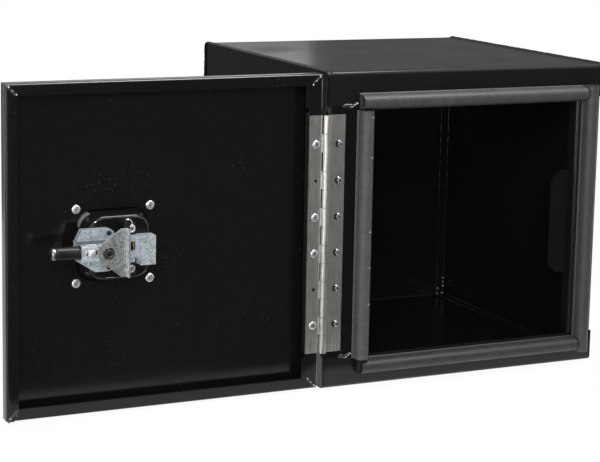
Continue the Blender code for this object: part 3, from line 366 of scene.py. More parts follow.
def shoulder_painted_highlight():
    """Powder coat of the latch pan's upper corner with a painted highlight: a pale wedge along its foot,
    narrower lower down.
    """
    material, web, shader = new_finish("pan_shoulder_painted_highlight")
    shader.inputs["Specular IOR Level"].default_value = 0.3
    shader.inputs["Roughness"].default_value = 0.25
    split = web.add("ShaderNodeSeparateXYZ")
    web.link(web.add("ShaderNodeTexCoord").outputs["Object"], split.inputs[0])
    rise = web.math("SUBTRACT", split.outputs["Z"], LATCH_MIDDLE.z + WEDGE_FOOT)
    lift = web.math("MULTIPLY", rise, WEDGE_TAPER)
    depth = web.math("SUBTRACT", split.outputs["Y"], DOOR_SKIN_Y - WEDGE_DEPTH)
    wedge = web.spread(web.math("ADD", depth, lift), -WEDGE_BLUR, WEDGE_BLUR)
    tone = web.blend(wedge, (0.004, 0.004, 0.0042, 1), (0.15, 0.15, 0.142, 1))
    web.link(tone, shader.inputs["Base Color"])
    return material


# Directions of fine lines: none, round a strip that runs along X or Z, and along a rolled sheet
EVEN = (1.0, 1.0, 1.0)
ROUND_X = (1.0, 0.15, 0.15)
ROUND_Z = (0.15, 0.15, 1.0)
ROLLED_Z = (1.0, 1.0, 0.02)

FINISHES = {
    "coat": powder_coat("powder_coat", (0.0055, 0.0055, 0.0057), (0.0095, 0.0095, 0.0098), 0.17),
    "end_coat": powder_coat("end_powder_coat", (0.003, 0.003, 0.0032), (0.006, 0.006, 0.0063), 0.17,
                            shine=0.25),
    "dusty_coat": powder_coat("dusty_powder_coat", (0.003, 0.003, 0.0032), (0.006, 0.006, 0.0063), 0.17,
                              dust=0.13, speck_scale=210.0),
    "weld": powder_coat("coated_weld", (0.006, 0.006, 0.0063), (0.012, 0.012, 0.0125), 0.1,
                        dust=0.0, shine=0.9),
    # steel colour of worn steel parts, also used for the painted glints along edges
    "steel_wear_and_glint": drawn_metal("steel_wear_and_glint", (0.14, 0.14, 0.14), (0.42, 0.42, 0.41), 0.3, EVEN, 420.0, 0.4),
    "seam": powder_coat("seam_weld", (0.003, 0.003, 0.0032), (0.016, 0.016, 0.0165), 0.42,
                        dust=0.0, shine=0.12),
    "dark_steel": drawn_metal("oiled_steel", (0.05, 0.05, 0.052), (0.12, 0.12, 0.12), 0.35, EVEN,
                              500.0, 0.3),
    "rubber": bulb_rubber("gasket_rubber", EVEN, 1.0),
    # seal strips of one rubber: tone shares paint light and shade, lighter on the hinge side, darker at the
    # bottom
    "top_seal": bulb_rubber("top_bulb_rubber", ROUND_X, 1.05),
    "bottom_seal": bulb_rubber("bottom_bulb_rubber", ROUND_X, 0.6),
    "left_seal": bulb_rubber("left_bulb_rubber", ROUND_Z, 1.4),
    "crease": bulb_rubber("crease_rubber", EVEN, 6.0),
    "right_seal": bulb_rubber("right_bulb_rubber", ROUND_Z, 1.0),
    "stainless": drawn_metal("hinge_stainless", (0.56, 0.55, 0.52), (0.8, 0.785, 0.745), 0.34, ROLLED_Z,
                             1100.0, 0.25, metallic=0.94),
    "rivet": drawn_metal("rivet_steel", (0.62, 0.64, 0.66), (0.9, 0.92, 0.94), 0.26, EVEN, 520.0, 0.3,
                         metallic=0.84),
    "zinc": spangled_zinc("zinc_plate", (0.3, 0.39, 0.47), (0.94, 0.98, 1.0)),
    "dull_zinc": spangled_zinc("dull_zinc_plate", (0.15, 0.16, 0.165), (0.5, 0.52, 0.51)),
    # darker copy of the zinc that paints shade on the latch channel's upward faces
    "shaded_zinc": spangled_zinc("shaded_zinc_plate", (0.035, 0.045, 0.053), (0.14, 0.15, 0.16)),
    # painted highlight on the latch pan's upper corner
    "shoulder_painted_highlight": shoulder_painted_highlight(),
    "plastic": moulded_plastic(),
    "brass": drawn_metal("cam_brass", (0.5, 0.36, 0.13), (0.75, 0.58, 0.26), 0.3, (1.0, 1.0, 0.1),
                         900.0, 0.2),
}

SLOT_FINISH = {
    "black_powder_coat": "coat", "seal_rubber": "rubber", "stainless_steel": "stainless",
    "rivet_steel": "rivet", "zinc_plate": "zinc", "black_plastic": "plastic", "brass": "brass",
}


# Frame pieces that keep their own shape
def smoothing_group():
    """Shades faces smoothly, keeping edges sharper than SMOOTH_ANGLE sharp and dropping custom normals; the
    weld modifier and, where there is one, the bevel modifier before it join split corners and round edges.
    """
    tree = bpy.data.node_groups.new("smooth_shading", "GeometryNodeTree")
    tree.interface.new_socket("Geometry", in_out="INPUT", socket_type="NodeSocketGeometry")
    tree.interface.new_socket("Geometry", in_out="OUTPUT", socket_type="NodeSocketGeometry")
    start = tree.nodes.new("NodeGroupInput")
    end = tree.nodes.new("NodeGroupOutput")
    angle = tree.nodes.new("GeometryNodeInputMeshEdgeAngle")
    sharp = tree.nodes.new("FunctionNodeCompare")
    sharp.operation = "GREATER_THAN"
    sharp.inputs["B"].default_value = math.radians(SMOOTH_ANGLE)
    shade = tree.nodes.new("GeometryNodeSetMeshNormal")
    shade.mode = "SHARPNESS"
    shade.inputs["Remove Custom"].default_value = True
    tree.links.new(angle.outputs["Unsigned Angle"], sharp.inputs["A"])
    tree.links.new(start.outputs[0], shade.inputs["Mesh"])
    tree.links.new(sharp.outputs["Result"], shade.inputs["Edge Sharpness"])
    tree.links.new(shade.outputs["Mesh"], end.inputs[0])
    return tree


SMOOTHING = smoothing_group()


def dress(node, finish, edge):
    piece = frame["nodes"][node]
    piece.data.materials.clear()
    piece.data.materials.append(FINISHES[finish])
    weld = piece.modifiers.new("weld", "WELD")
    weld.merge_threshold = 0.00001
    if edge:
        bevel = piece.modifiers.new("edge", "BEVEL")
        bevel.width = edge
        bevel.segments = 2
        bevel.limit_method = "ANGLE"
        bevel.angle_limit = math.radians(40)
        bevel.use_clamp_overlap = True
    shading = piece.modifiers.new("shading", "NODES")
    shading.node_group = SMOOTHING
    flats = piece.modifiers.new("flat_faces", "WEIGHTED_NORMAL")
    flats.mode = "FACE_AREA"
    flats.weight = 100
    flats.keep_sharp = True


NODE_FINISH = {
    "door_panel": "dusty_coat", "latch_pan": "dusty_coat",
    "left_end_plate": "end_coat", "strike_bracket": "end_coat",
    "bolt_core": "steel_wear_and_glint", "pull_nut": "steel_wear_and_glint",
    "pull_plate": "dull_zinc", "pull_stud": "dark_steel",
    "lock_cylinder": "dark_steel", "lock_nut": "dark_steel",
    "lock_plug": "dark_steel", "lock_cam": "dark_steel",
    "housing_rivet_1": "dark_steel", "housing_rivet_2": "dark_steel",
}


def dress_frame():
    for part in frame["record"]["subparts"]:
        slot = part["material_slot"]
        edge = SHEET_EDGE if slot == "black_powder_coat" else FITTING_EDGE
        if "rivet" in part["node"] or part["node"] == "paddle_spring":
            edge = 0
        dress(part["node"], NODE_FINISH.get(part["node"], SLOT_FINISH[slot]), edge)


def tint_faces(node, finish, chosen):
    """Give the faces of a node that a test picks, by world place and facing, a second finish."""
    piece = frame["nodes"][node]
    piece.data.materials.append(FINISHES[finish])
    turn = piece.matrix_world.to_3x3()
    for face in piece.data.polygons:
        if chosen(piece.matrix_world @ face.center, (turn @ face.normal).normalized()):
            face.material_index = len(piece.data.materials) - 1


# Upward faces of the latch channel, which get painted shade
def on_channel_top(place, facing):
    return facing.z > 0.12 and abs(place.z - LATCH_MIDDLE.z) < 0.018


# Side faces of the pull plate, which get a painted highlight
def on_rim(place, facing):
    return abs(facing.y) < 0.6


# Faces of the latch pan's upper corner that get the painted highlight
def on_pan_shoulder(place, facing):
    high = place.z > LATCH_MIDDLE.z + WEDGE_FOOT
    return high and place.x < LATCH_MIDDLE.x - 0.03 and facing.x < -0.3 and facing.y < 0.2


# New pieces
def new_piece(name, shape, finish, body):
    bmesh.ops.recalc_face_normals(shape, faces=shape.faces)
    mesh = bpy.data.meshes.new(name)
    shape.to_mesh(mesh)
    shape.free()
    mesh.materials.append(FINISHES[finish])
    mesh.shade_smooth()
    mesh.set_sharp_from_angle(angle=math.radians(45))
    piece = bpy.data.objects.new(name, mesh)
    bpy.context.scene.collection.objects.link(piece)
    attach(piece, body)
    return piece


def seal_profile(width, height, inset):
    """Half of a rounded square over a base lip, as (across, up) points; inset gives the hollow."""
    half = width / 2 - inset
    foot = SEAL_LIP + inset
    crown = height - foot - inset
    points = [(-half, inset)]
    for step in range(SEAL_ARC_STEPS + 1):
        turn = math.pi * (1 - step / SEAL_ARC_STEPS)
        across = math.copysign(abs(math.cos(turn)) ** SEAL_SQUARENESS, math.cos(turn))
        up = math.sin(turn) ** SEAL_SQUARENESS if math.sin(turn) > 0 else 0
        lip = 0 if inset else SEAL_LIP_REACH
        points.append((across * (half - lip), foot + up * crown))
    points.append((half, inset))
    return points


def bulb_seal(node, squeezed):
    """Hollow extruded bulb along its CAD solid's longest side, with cut ends and a slight waver."""
    low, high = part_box(node)
    size = high - low
    run = 0 if size.x > size.z else 2
    side = 2 - run
    base = high.y
    middle = (low[side] + high[side]) / 2
    outer = seal_profile(size[side], size.y, 0)
    inner = seal_profile(size[side], size.y, SEAL_WALL)
    shape = bmesh.new()
    rings = {True: [], False: []}
    for station in range(SEAL_STATIONS + 1):
        along = low[run] + size[run] * station / SEAL_STATIONS
        for hollow, outline in ((False, outer), (True, inner)):
            ring = []
            for across, up in outline:
                waver = noise.noise(Vector((along * 14, across * 20, middle * 9))) * 0.0006 * up / size.y
                spot = Vector((0, base - up * (1 + waver * 40) + 0.0004 * up / size.y, 0))
                spot[run] = along
                spot[side] = middle + across * (1 - abs(waver) * 12)
                spot.y = max(spot.y, low.y)
                ring.append(shape.verts.new(spot))
            rings[hollow].append(ring)
    count = len(outer)
    for hollow in (False, True):
        for first, second in zip(rings[hollow], rings[hollow][1:]):
            for i in range(count):
                j = (i + 1) % count
                shape.faces.new((first[i], first[j], second[j], second[i]))
    for end in (0, -1):
        rim = rings[False][end]
        bore = rings[True][end]
        for i in range(count):
            j = (i + 1) % count
            shape.faces.new((rim[i], rim[j], bore[j], bore[i]))
    piece = new_piece("bulb_" + node, shape, node, "box")
    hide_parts(node)
    if squeezed:
        anchor = (low + high) / 2
        anchor.y = base
        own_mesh(piece)
    return piece


def add_creases():
    """Pale folds across the hinge-side seal, over the inner half of its crown."""
    low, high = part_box("left_seal")
    middle = (low.x + high.x) / 2
    half = (high.x - low.x) / 2 - SEAL_LIP_REACH
    crown = high.y - low.y - SEAL_LIP
    for i, z in enumerate((0.393, 0.336, 0.229, 0.177, 0.124)):
        path = []
        for step in range(6):
            share = 0.1 + 0.13 * step
            rise = math.sin(math.acos(share ** (1 / SEAL_SQUARENESS))) ** SEAL_SQUARENESS
            y = high.y - SEAL_LIP - crown * rise + 0.0002
            path.append((middle + half * share, y, z + 0.0008 * math.sin(step * 1.7)))
        fold = weld_bead("seal_crease_%d" % (i + 1), path, (0, -1, 0), "box", width=0.0016, height=0.0006,
                         pitch=0.02, seed=z)
        fold.data.materials[0] = FINISHES["crease"]


def weld_bead(name, path, up, body, width=0.005, height=0.0014, pitch=0.0032, seed=0.0):
    """Rippled bead along a polyline, standing on its surface in direction up, with tapered ends."""
    points = []
    travel = 0.0
    step = pitch / 5
    for first, second in zip(path, path[1:]):
        first, second = Vector(first), Vector(second)
        run = second - first
        count = max(1, round(run.length / step))
        for i in range(count):
            points.append((first + run * i / count, run.normalized(), travel + run.length * i / count))
        travel += run.length
    points.append((Vector(path[-1]), run.normalized(), travel))
    shape = bmesh.new()
    rings = []
    for spot, run, s in points:
        normal = Vector(up(spot) if callable(up) else up).normalized()
        side = normal.cross(run).normalized()
        ripple = 0.72 + 0.28 * abs(math.sin(math.pi * s / pitch))
        lump = 1 + 0.22 * noise.noise(Vector((s * 160, seed, 0)))
        taper = min(1.0, 0.25 + s / 0.004, 0.25 + (travel - s) / 0.004)
        ring = []
        for i in range(9):
            turn = math.pi * i / 8
            across = math.cos(turn) * width / 2 * lump * (0.88 + 0.12 * ripple) * taper
            rise = math.sin(turn) * height * ripple * lump * taper - height * 0.15
            ring.append(shape.verts.new(spot + side * across + normal * rise))
        rings.append(ring)
    for first, second in zip(rings, rings[1:]):
        for i in range(9):
            j = (i + 1) % 9
            shape.faces.new((first[i], first[j], second[j], second[i]))
    shape.faces.new(rings[0])
    shape.faces.new(rings[-1])
    return new_piece(name, shape, "weld", body)


def weld_lumps(name, places, radius, body, seed, finish="weld"):
    """Cluster of overlapping uneven drops, one for each place."""
    shape = bmesh.new()
    for i, place in enumerate(places):
        drop = bmesh.ops.create_icosphere(shape, subdivisions=3, radius=1.0)
        size = radius * (0.75 + 0.5 * abs(noise.noise(Vector((seed, i * 3.7, 0.3)))))
        for vert in drop["verts"]:
            wobble = 1 + 0.3 * noise.noise(vert.co * 1.3 + Vector((seed, i * 5.1, 0)))
            vert.co = Vector(place) + vert.co * size * wobble
    return new_piece(name, shape, finish, body)


def turned_piece(name, node, profile, finish, body, steps=28):
    """Round piece along Y in place of a frame node; profile gives (radius, y) from front to back."""
    low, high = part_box(node)
    x = (low.x + high.x) / 2
    z = (low.z + high.z) / 2
    shape = bmesh.new()
    rings = []
    for radius, y in profile:
        ring = []
        for step in range(steps if radius else 1):
            turn = math.tau * step / steps
            ring.append(shape.verts.new((x + radius * math.cos(turn), y, z + radius * math.sin(turn))))
        rings.append(ring)
    for first, second in zip(rings, rings[1:]):
        for i in range(steps):
            j = (i + 1) % steps
            near = [first[i % len(first)], first[j % len(first)]]
            far = [second[j % len(second)], second[i % len(second)]]
            shape.faces.new(list(dict.fromkeys(near + far)))
    piece = new_piece(name, shape, finish, body)
    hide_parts(node)
    return piece


# Shape of a rivet's two ends as (share of radius, share of height) from the middle of its face outwards
RIVET_ENDS = {
    "head": ((0, 0.35), (0.26, 0.3), (0.27, 0.95), (0.34, 1.0), (0.6, 0.93), (0.82, 0.7), (0.95, 0.38),
             (1.0, 0.05), (0.99, 0)),
    "bulb": ((0, 1.0), (0.2, 1.0), (0.26, 0.93), (0.28, 0.7), (0.4, 0.8), (0.58, 0.84), (0.8, 0.68),
             (0.95, 0.42), (1.0, 0.2), (0.95, 0)),
}
RIVET_SHANK = 0.002
RIVET_KINDS = {
    "box_hinge_rivet": ("bulb", 0.0052, 0.0040, "head", 0.0059, 0.0016, "box", "rivet"),
    "door_hinge_rivet": ("head", 0.0059, 0.0016, "bulb", 0.0052, 0.0040, "door", "rivet"),
    "pan_rivet": ("bulb", 0.0062, 0.0026, "head", 0.0059, 0.0016, "door", "rivet"),
    "keeper_rivet": ("head", 0.0056, 0.0018, "bulb", 0.0030, 0.0016, "door", "rivet"),
    "housing_rivet": ("head", 0.0035, 0.0013, "bulb", 0.0030, 0.0016, "door", "dark_steel"),
}


def add_rivets():
    for part in frame["record"]["subparts"]:
        node = part["node"]
        kind = node.rsplit("_", 1)[0]
        if kind not in RIVET_KINDS:
            continue
        front, front_r, front_h, back, back_r, back_h, body, finish = RIVET_KINDS[kind]
        low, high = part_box(node)
        profile = [(r * front_r, low.y + front_h * (1 - h)) for r, h in RIVET_ENDS[front]]
        profile += [(RIVET_SHANK, low.y + front_h), (RIVET_SHANK, high.y - back_h)]
        profile += [(r * back_r, high.y - back_h * (1 - h)) for r, h in reversed(RIVET_ENDS[back])]
        piece = turned_piece("formed_" + node, node, profile, finish, body)
        piece.data.materials.append(FINISHES["steel_wear_and_glint"])
        piece.data.materials.append(FINISHES["plastic"])
        middle = (low + high) / 2
        # Mandrel pits get worn steel; the left-facing sides of the box-leaf rivet bulbs get black plastic as
        # painted shade
        for face in piece.data.polygons:
            away = math.hypot(face.center.x - middle.x, face.center.z - middle.z)
            if away < 0.29 * front_r:
                face.material_index = 1
            elif kind == "box_hinge_rivet" and face.normal.x < -0.1:
                face.material_index = 2


def latch_spot(across, up, height):
    """Point on the open door's latch, from its middle and the height above the door's inner skin."""
    return Vector((LATCH_MIDDLE.x + across, DOOR_SKIN_Y - height, LATCH_MIDDLE.z + up))


def button(name, spot, radius, height, finish, body, hollow=0.0, steps=20):
    """Low round button facing the front; hollow gives a dished middle of that share of its radius."""
    profile = [(hollow * radius, 0.35), (hollow * radius, 0.95), (0.62 * radius, 1.0), (0.9 * radius, 0.75),
               (radius, 0.35), (radius, -0.3), (0, -0.3)]
    if not hollow:
        profile[:2] = [(0, 1.0)]
    else:
        profile.insert(0, (0, 0.3))
    shape = bmesh.new()
    rings = []
    for ring_r, share in profile:
        ring = []
        for step in range(steps if ring_r else 1):
            turn = math.tau * step / steps
            ring.append(shape.verts.new((spot.x + ring_r * math.cos(turn), spot.y - height * share,
                                         spot.z + ring_r * math.sin(turn))))
        rings.append(ring)
    for first, second in zip(rings, rings[1:]):
        for i in range(steps):
            j = (i + 1) % steps
            near = [first[i % len(first)], first[j % len(first)]]
            far = [second[j % len(second)], second[i % len(second)]]
            shape.faces.new(list(dict.fromkeys(near + far)))
    return new_piece(name, shape, finish, body)


def rounded_loop(width, height, corner, steps=8):
    loop = []
    for quarter, (sx, sy) in enumerate(((1, 1), (-1, 1), (-1, -1), (1, -1))):
        for step in range(steps + 1):
            turn = math.pi / 2 * (quarter + step / steps)
            loop.append((sx * (width / 2 - corner) + corner * math.cos(turn),
                         sy * (height / 2 - corner) + corner * math.sin(turn)))
    return loop


def rim_bead(name, loop, spot, thick, finish, body, gap=0):
    """Round wire that follows a loop of (across, up) points; gap leaves that many points open."""
    shape = bmesh.new()
    rings = []
    count = len(loop)
    used = count - gap
    for i in range(used):
        here = Vector(loop[i])
        run = (Vector(loop[(i + 1) % count]) - Vector(loop[i - 1])).normalized()
        side = Vector((-run.y, run.x))
        ring = []
        for step in range(8):
            turn = math.tau * step / 8
            flat = here + side * math.cos(turn) * thick
            ring.append(shape.verts.new((spot.x + flat.x, spot.y - math.sin(turn) * thick, spot.z + flat.y)))
        rings.append(ring)
    pairs = list(zip(rings, rings[1:]))
    if gap:
        shape.faces.new(rings[0])
        shape.faces.new(rings[-1])
    else:
        pairs.append((rings[-1], rings[0]))
    for first, second in pairs:
        for i in range(8):
            j = (i + 1) % 8
            shape.faces.new((first[i], first[j], second[j], second[i]))
    return new_piece(name, shape, finish, body)


def plate(name, spot, size, tilt, finish):
    """Small pressed plate with rounded edges on the open door, tilted about the upright axis."""
    shape = bmesh.new()
    bmesh.ops.create_cube(shape, size=1.0)
    bmesh.ops.scale(shape, vec=size, verts=shape.verts)
    bmesh.ops.bevel(shape, geom=shape.edges[:], offset=min(size) * 0.3, segments=2, affect="EDGES",
                    profile=0.5)
    turn = Matrix.Rotation(math.radians(tilt), 3, "Z")
    bmesh.ops.rotate(shape, cent=(0, 0, 0), matrix=turn, verts=shape.verts)
    bmesh.ops.translate(shape, vec=spot, verts=shape.verts)
    return new_piece(name, shape, finish, "door")


def add_latch_details():
    rim_bead("pan_rim_bead", rounded_loop(0.0815, 0.0815, 0.0185), latch_spot(0, 0, 0.0249), 0.0009,
             "weld", "door")
    for i, (across, up) in enumerate(((-0.0615, 0.0105), (-0.0575, 0.0042), (-0.0608, -0.0042))):
        button("channel_pip_%d" % (i + 1), latch_spot(across, up, 0.0623), 0.0019, 0.0011, "rivet", "door",
               hollow=0.45)
    button("housing_pip", latch_spot(-0.0457, -0.0169, 0.038), 0.0028, 0.0014, "rivet", "door",
           hollow=0.4)
    for i, (across, up) in enumerate(((0.0165, 0.0251), (0.0165, -0.0298))):
        plate("keeper_pad_%d" % (i + 1), latch_spot(across, up, 0.0271), (0.0118, 0.0009, 0.0166), 0,
              "plastic")
    turns = [math.tau * i / 40 - 0.2 for i in range(40)]
    ring = [(0.0062 * math.cos(turn), 0.0062 * math.sin(turn)) for turn in turns]
    rim_bead("keeper_clip", ring, latch_spot(0.0108, 0.0318, 0.0275), 0.0009, "rivet", "door",
             gap=17)
    plate("channel_tab", latch_spot(-0.0508, 0.0031, 0.0632), (0.0098, 0.0012, 0.0088), -14,
          "rivet")
    # Painted shade: thin black plates where the slots beside the tab open
    for name, across in (("left", -0.0574), ("right", -0.0446)):
        plate(name + "_painted_slot_shade", latch_spot(across, 0.0034, 0.0623), (0.0024, 0.0008, 0.0062), 0,
              "plastic")
    plate("neck_spring_strip", latch_spot(0.0166, 0.0037, 0.0352), (0.0026, 0.0014, 0.0124), 0,
          "brass")


def end_seam_path(x, wrapper_low, wrapper_high, bend):
    """Rounded square round an end plate's seam, from the front flange's end up, over and round."""
    path = []
    corners = ((wrapper_high.y - bend, wrapper_low.z + bend, -90),
               (wrapper_high.y - bend, wrapper_high.z - bend, 0),
               (wrapper_low.y + bend, wrapper_high.z - bend, 90))
    for y, z, start in corners:
        for step in range(7):
            turn = math.radians(start + 15 * step)
            path.append((x, y + bend * math.cos(turn), z + bend * math.sin(turn)))
    return path[3:]


def outward(centre):
    def direction(spot):
        away = Vector((0, spot.y - centre.y, spot.z - centre.z))
        if abs(away.y) > abs(away.z):
            away.z = 0
        else:
            away.y = 0
        return away
    return direction


def add_end_seams(low, high):
    centre = (low + high) / 2
    for name, x in (("left", low.x - 0.0002), ("right", high.x + 0.0002)):
        path = end_seam_path(x, low, high, BOX_BEND)
        seam = weld_bead(name + "_end_seam_weld", path, outward(centre), "box", width=0.0095, height=0.0026,
                         pitch=0.0075, seed=x)
        seam.data.materials[0] = FINISHES["seam"]


def add_flange_tacks(face, left, right):
    for name, z, x0, x1 in (("top_left", TOP_FLANGE_EDGE, left + 0.022, left + 0.046),
                            ("low_left", LOW_FLANGE_EDGE, left + 0.024, left + 0.044),
                            ("top_right", TOP_FLANGE_EDGE, right - 0.034, right - 0.008),
                            ("low_right", LOW_FLANGE_EDGE, right - 0.034, right - 0.008)):
        weld_bead(name + "_flange_tack", [(x0, face, z), (x1, face, z)], (0, -1, 0), "box",
                  width=0.0062, height=0.002, pitch=0.0062, seed=z + x0)
        drops = [(x0 + (x1 - x0) * share, face + 0.0006, z + 0.0022 * math.sin(9 * share))
                 for share in (0.3, 0.55, 0.72, 0.9)]
        weld_lumps(name + "_flange_drops", drops, 0.0034, "box", z * 10 + x0)
        # Bright metal drops as painted glints on the tack
        painted_glints = [(spot[0] + 0.001, spot[1] - 0.003, spot[2] + 0.0012) for spot in drops[1:]]
        weld_lumps(name + "_flange_sparks", painted_glints, 0.0011, "box", z * 3 + x0, "rivet")


def add_door_corners(low, high):
    """Welded mitres of the door's lips, with bright metal drops as painted glints; the low free corner has
    one painted glint, clear of the seal.
    """
    for name, x, z, sx, sz in (("top_free", low.x, high.z, 1, -1), ("low_free", low.x, low.z, 1, 1),
                               ("top_hinge", high.x, high.z, -1, -1), ("low_hinge", high.x, low.z, -1, 1)):
        start = (x + sx * CORNER_INSET, low.y, z + sz * CORNER_INSET)
        end = (x + sx * CORNER_LIP, low.y, z + sz * CORNER_LIP)
        weld_bead(name + "_lip_weld", [start, end], (0, -1, 0), "door", width=0.0045, height=0.0014,
                  pitch=0.0048, seed=x + z)
        drops = [(x + sx * CORNER_LIP * share, low.y + 0.0007, z + sz * CORNER_LIP * share)
                 for share in (0.3, 0.62, 0.95)]
        weld_lumps(name + "_lip_drops", drops, 0.0021, "door", x * 7 + z)
        # Bright metal drops as painted glints on the mitre
        lit = drops[:1] if name == "low_free" else drops
        painted_glints = [(spot[0], spot[1] - 0.0022, spot[2] + 0.0004) for spot in lit]
        weld_lumps(name + "_lip_sparks", painted_glints, 0.0011, "door", x * 3 + z, "rivet")
    offsets = ((0.004, 0.004, 0.0012), (0.009, 0.003, 0.0016), (0.014, 0.0018, 0.008))
    places = [(low.x + x, low.y + y, low.z + z) for x, y, z in offsets]
    weld_lumps("low_free_corner_drops", places, 0.0032, "door", 4.4)


def add_inside_seams(low, high, right):
    """Lap edges and seams inside the box's far right corner, with the rough weld where they meet."""
    lap = right - LAP
    back = high.y - 0.0045
    floor = low.z + 0.0045
    front = low.y + 0.032
    top = high.z - 0.004
    side = right - 0.001
    for name, start, end, up in (
            ("floor_lap_edge", (lap, front, floor), (lap, back, floor), (-0.4, 0, 1)),
            ("floor_side_seam", (side, front, floor + 0.001), (side, back, floor + 0.001), (-1, 0, 1)),
            ("back_lap_edge", (lap, back, floor), (lap, back, top), (-0.4, -1, 0)),
            ("back_side_seam", (side, back, floor), (side, back, top), (-1, -1, 0)),
            ("back_floor_seam", (low.x + 0.02, back + 0.001, floor - 0.001),
             (lap, back + 0.001, floor - 0.001), (0, -1, 1))):
        weld_bead(name, [start, end], up, "box", width=0.0032, height=0.0014, pitch=0.02,
                  seed=start[0] + end[2])
    lumps = ((lap, 0.002, 0.001), (lap, 0.002, 0.008), (right - 0.003, 0.003, 0.018),
             (right - 0.003, 0.003, 0.028), (right - 0.005, 0.004, 0.002))
    weld_lumps("back_corner_lumps", [(x, back - y, floor + z) for x, y, z in lumps], 0.0042, "box", 1.7)
    # Bright metal drops as painted glints on the corner weld
    painted_glints = ((lap - 0.001, 0.006, 0.003), (lap, 0.006, 0.012), (right - 0.006, 0.008, 0.016),
              (right - 0.006, 0.008, 0.023), (right - 0.006, 0.007, 0.03), (right - 0.008, 0.009, 0.004))
    weld_lumps("back_corner_sparks", [(x, back - y, floor + z) for x, y, z in painted_glints], 0.0022, "box", 2.6,
               "rivet")
    return lap, back, floor


def add_edge_glints(low, high, left, door_low, door_high):
    """Painted glints: strips of bare-metal colour along the bent edges in the gap between door and box."""
    glint_x = door_high.x - 0.0006
    for name, x, y, z0, z1, body in (
            ("door_top_painted_edge_glint", glint_x, door_low.y + 0.0008, 0.402, door_high.z - 0.006, "door"),
            ("door_low_painted_edge_glint", glint_x, door_low.y + 0.0008, door_low.z + 0.006, 0.05, "door"),
            ("box_top_painted_edge_glint", left + 0.0004, low.y + 0.0052, 0.4, high.z - 0.006, "box"),
            ("box_low_painted_edge_glint", left + 0.0004, low.y + 0.0052, low.z + 0.004, 0.05, "box")):
        piece = weld_bead(name, [(x, y, z0), (x, y, z1)], (-1 if body == "box" else 1, -1, 0), body,
                          width=0.0014, height=0.0007, pitch=0.03, seed=z0)
        piece.data.materials[0] = FINISHES["steel_wear_and_glint"]


def add_inside_welds(low, right, lap, back, floor):
    weld_bead("back_corner_weld", [(lap, back, floor), (lap, back, floor + 0.014)], (0, -1, 0.3),
              "box", width=0.005, height=0.003, pitch=0.004, seed=3.0)
    side = right - 0.002
    weld_bead("side_corner_weld", [(side, back, floor + 0.012), (side, back, floor + 0.034)],
              (-1, -1, 0), "box", width=0.006, height=0.003, pitch=0.004, seed=5.0)
    for i in range(4):
        y = low.y + 0.09 + 0.1 * i
        tack = [(lap, y, floor - 0.0005), (lap, y + 0.018, floor - 0.0005)]
        weld_bead("lap_tack_%d" % (i + 1), tack, (-0.5, 0, 1), "box", width=0.005, height=0.0018,
                  pitch=0.0045, seed=y)
    strike_low, strike_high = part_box("strike_bracket")
    for name, z in (("top", strike_high.z - 0.004), ("low", strike_low.z + 0.004)):
        spot = (strike_high.x - 0.001, strike_low.y + 0.006, z)
        weld_bead(name + "_strike_weld", [spot, (spot[0], spot[1] + 0.006, spot[2])], (-1, -1, 0), "box",
                  width=0.006, height=0.0022, pitch=0.003, seed=z)


def add_welds():
    low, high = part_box("box_wrapper")
    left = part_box("left_end_plate")[0].x
    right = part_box("right_end_plate")[1].x
    door_low, door_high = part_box("door_panel")
    add_end_seams(low, high)
    add_flange_tacks(low.y, left, right)
    add_door_corners(door_low, door_high)
    lap, back, floor = add_inside_seams(low, high, right - SHEET)
    add_edge_glints(low, high, left, door_low, door_high)
    add_inside_welds(low, right - SHEET, lap, back, floor)


# Stage
def add_camera():
    yaw, pitch, roll = (math.radians(a) for a in (CAMERA_YAW, CAMERA_PITCH, CAMERA_ROLL))
    forward = Vector((math.sin(yaw) * math.cos(pitch), math.cos(yaw) * math.cos(pitch), -math.sin(pitch)))
    right = Vector((math.cos(yaw), -math.sin(yaw), 0))
    up = right.cross(forward)
    turned_right = right * math.cos(roll) + up * math.sin(roll)
    turned_up = up * math.cos(roll) - right * math.sin(roll)
    data = bpy.data.cameras.new("photo_camera")
    data.lens = CAMERA_LENS
    data.sensor_width = 36
    data.shift_y = CAMERA_SHIFT_Y
    camera = bpy.data.objects.new("photo_camera", data)
    camera.matrix_world = Matrix.Translation(CAMERA_PLACE) @ Matrix(
        (turned_right, turned_up, -forward)).transposed().to_4x4()
    bpy.context.scene.collection.objects.link(camera)
    bpy.context.scene.camera = camera


def background_share(web):
    """1 for rays that see the backdrop itself: camera, glossy and transmitted ones."""
    path = web.add("ShaderNodeLightPath")
    seen = web.math("ADD", path.outputs["Is Camera Ray"], path.outputs["Is Glossy Ray"], clamp=True)
    return web.math("ADD", seen, path.outputs["Is Transmission Ray"], clamp=True)


def add_world():
    world = bpy.data.worlds.new("studio")
    world.use_nodes = True
    web = Web(world.node_tree)
    fill = world.node_tree.nodes["Background"]
    fill.inputs["Color"].default_value = (1, 1, 1, 1)
    fill.inputs["Strength"].default_value = SKY_FILL
    white = web.add("ShaderNodeBackground", Color=(1, 1, 1, 1), Strength=1.0)
    mix = web.add("ShaderNodeMixShader")
    web.link(background_share(web), mix.inputs[0])
    web.link(fill.outputs[0], mix.inputs[1])
    web.link(white.outputs[0], mix.inputs[2])
    web.link(mix.outputs[0], world.node_tree.nodes["World Output"].inputs["Surface"])
    bpy.context.scene.world = world


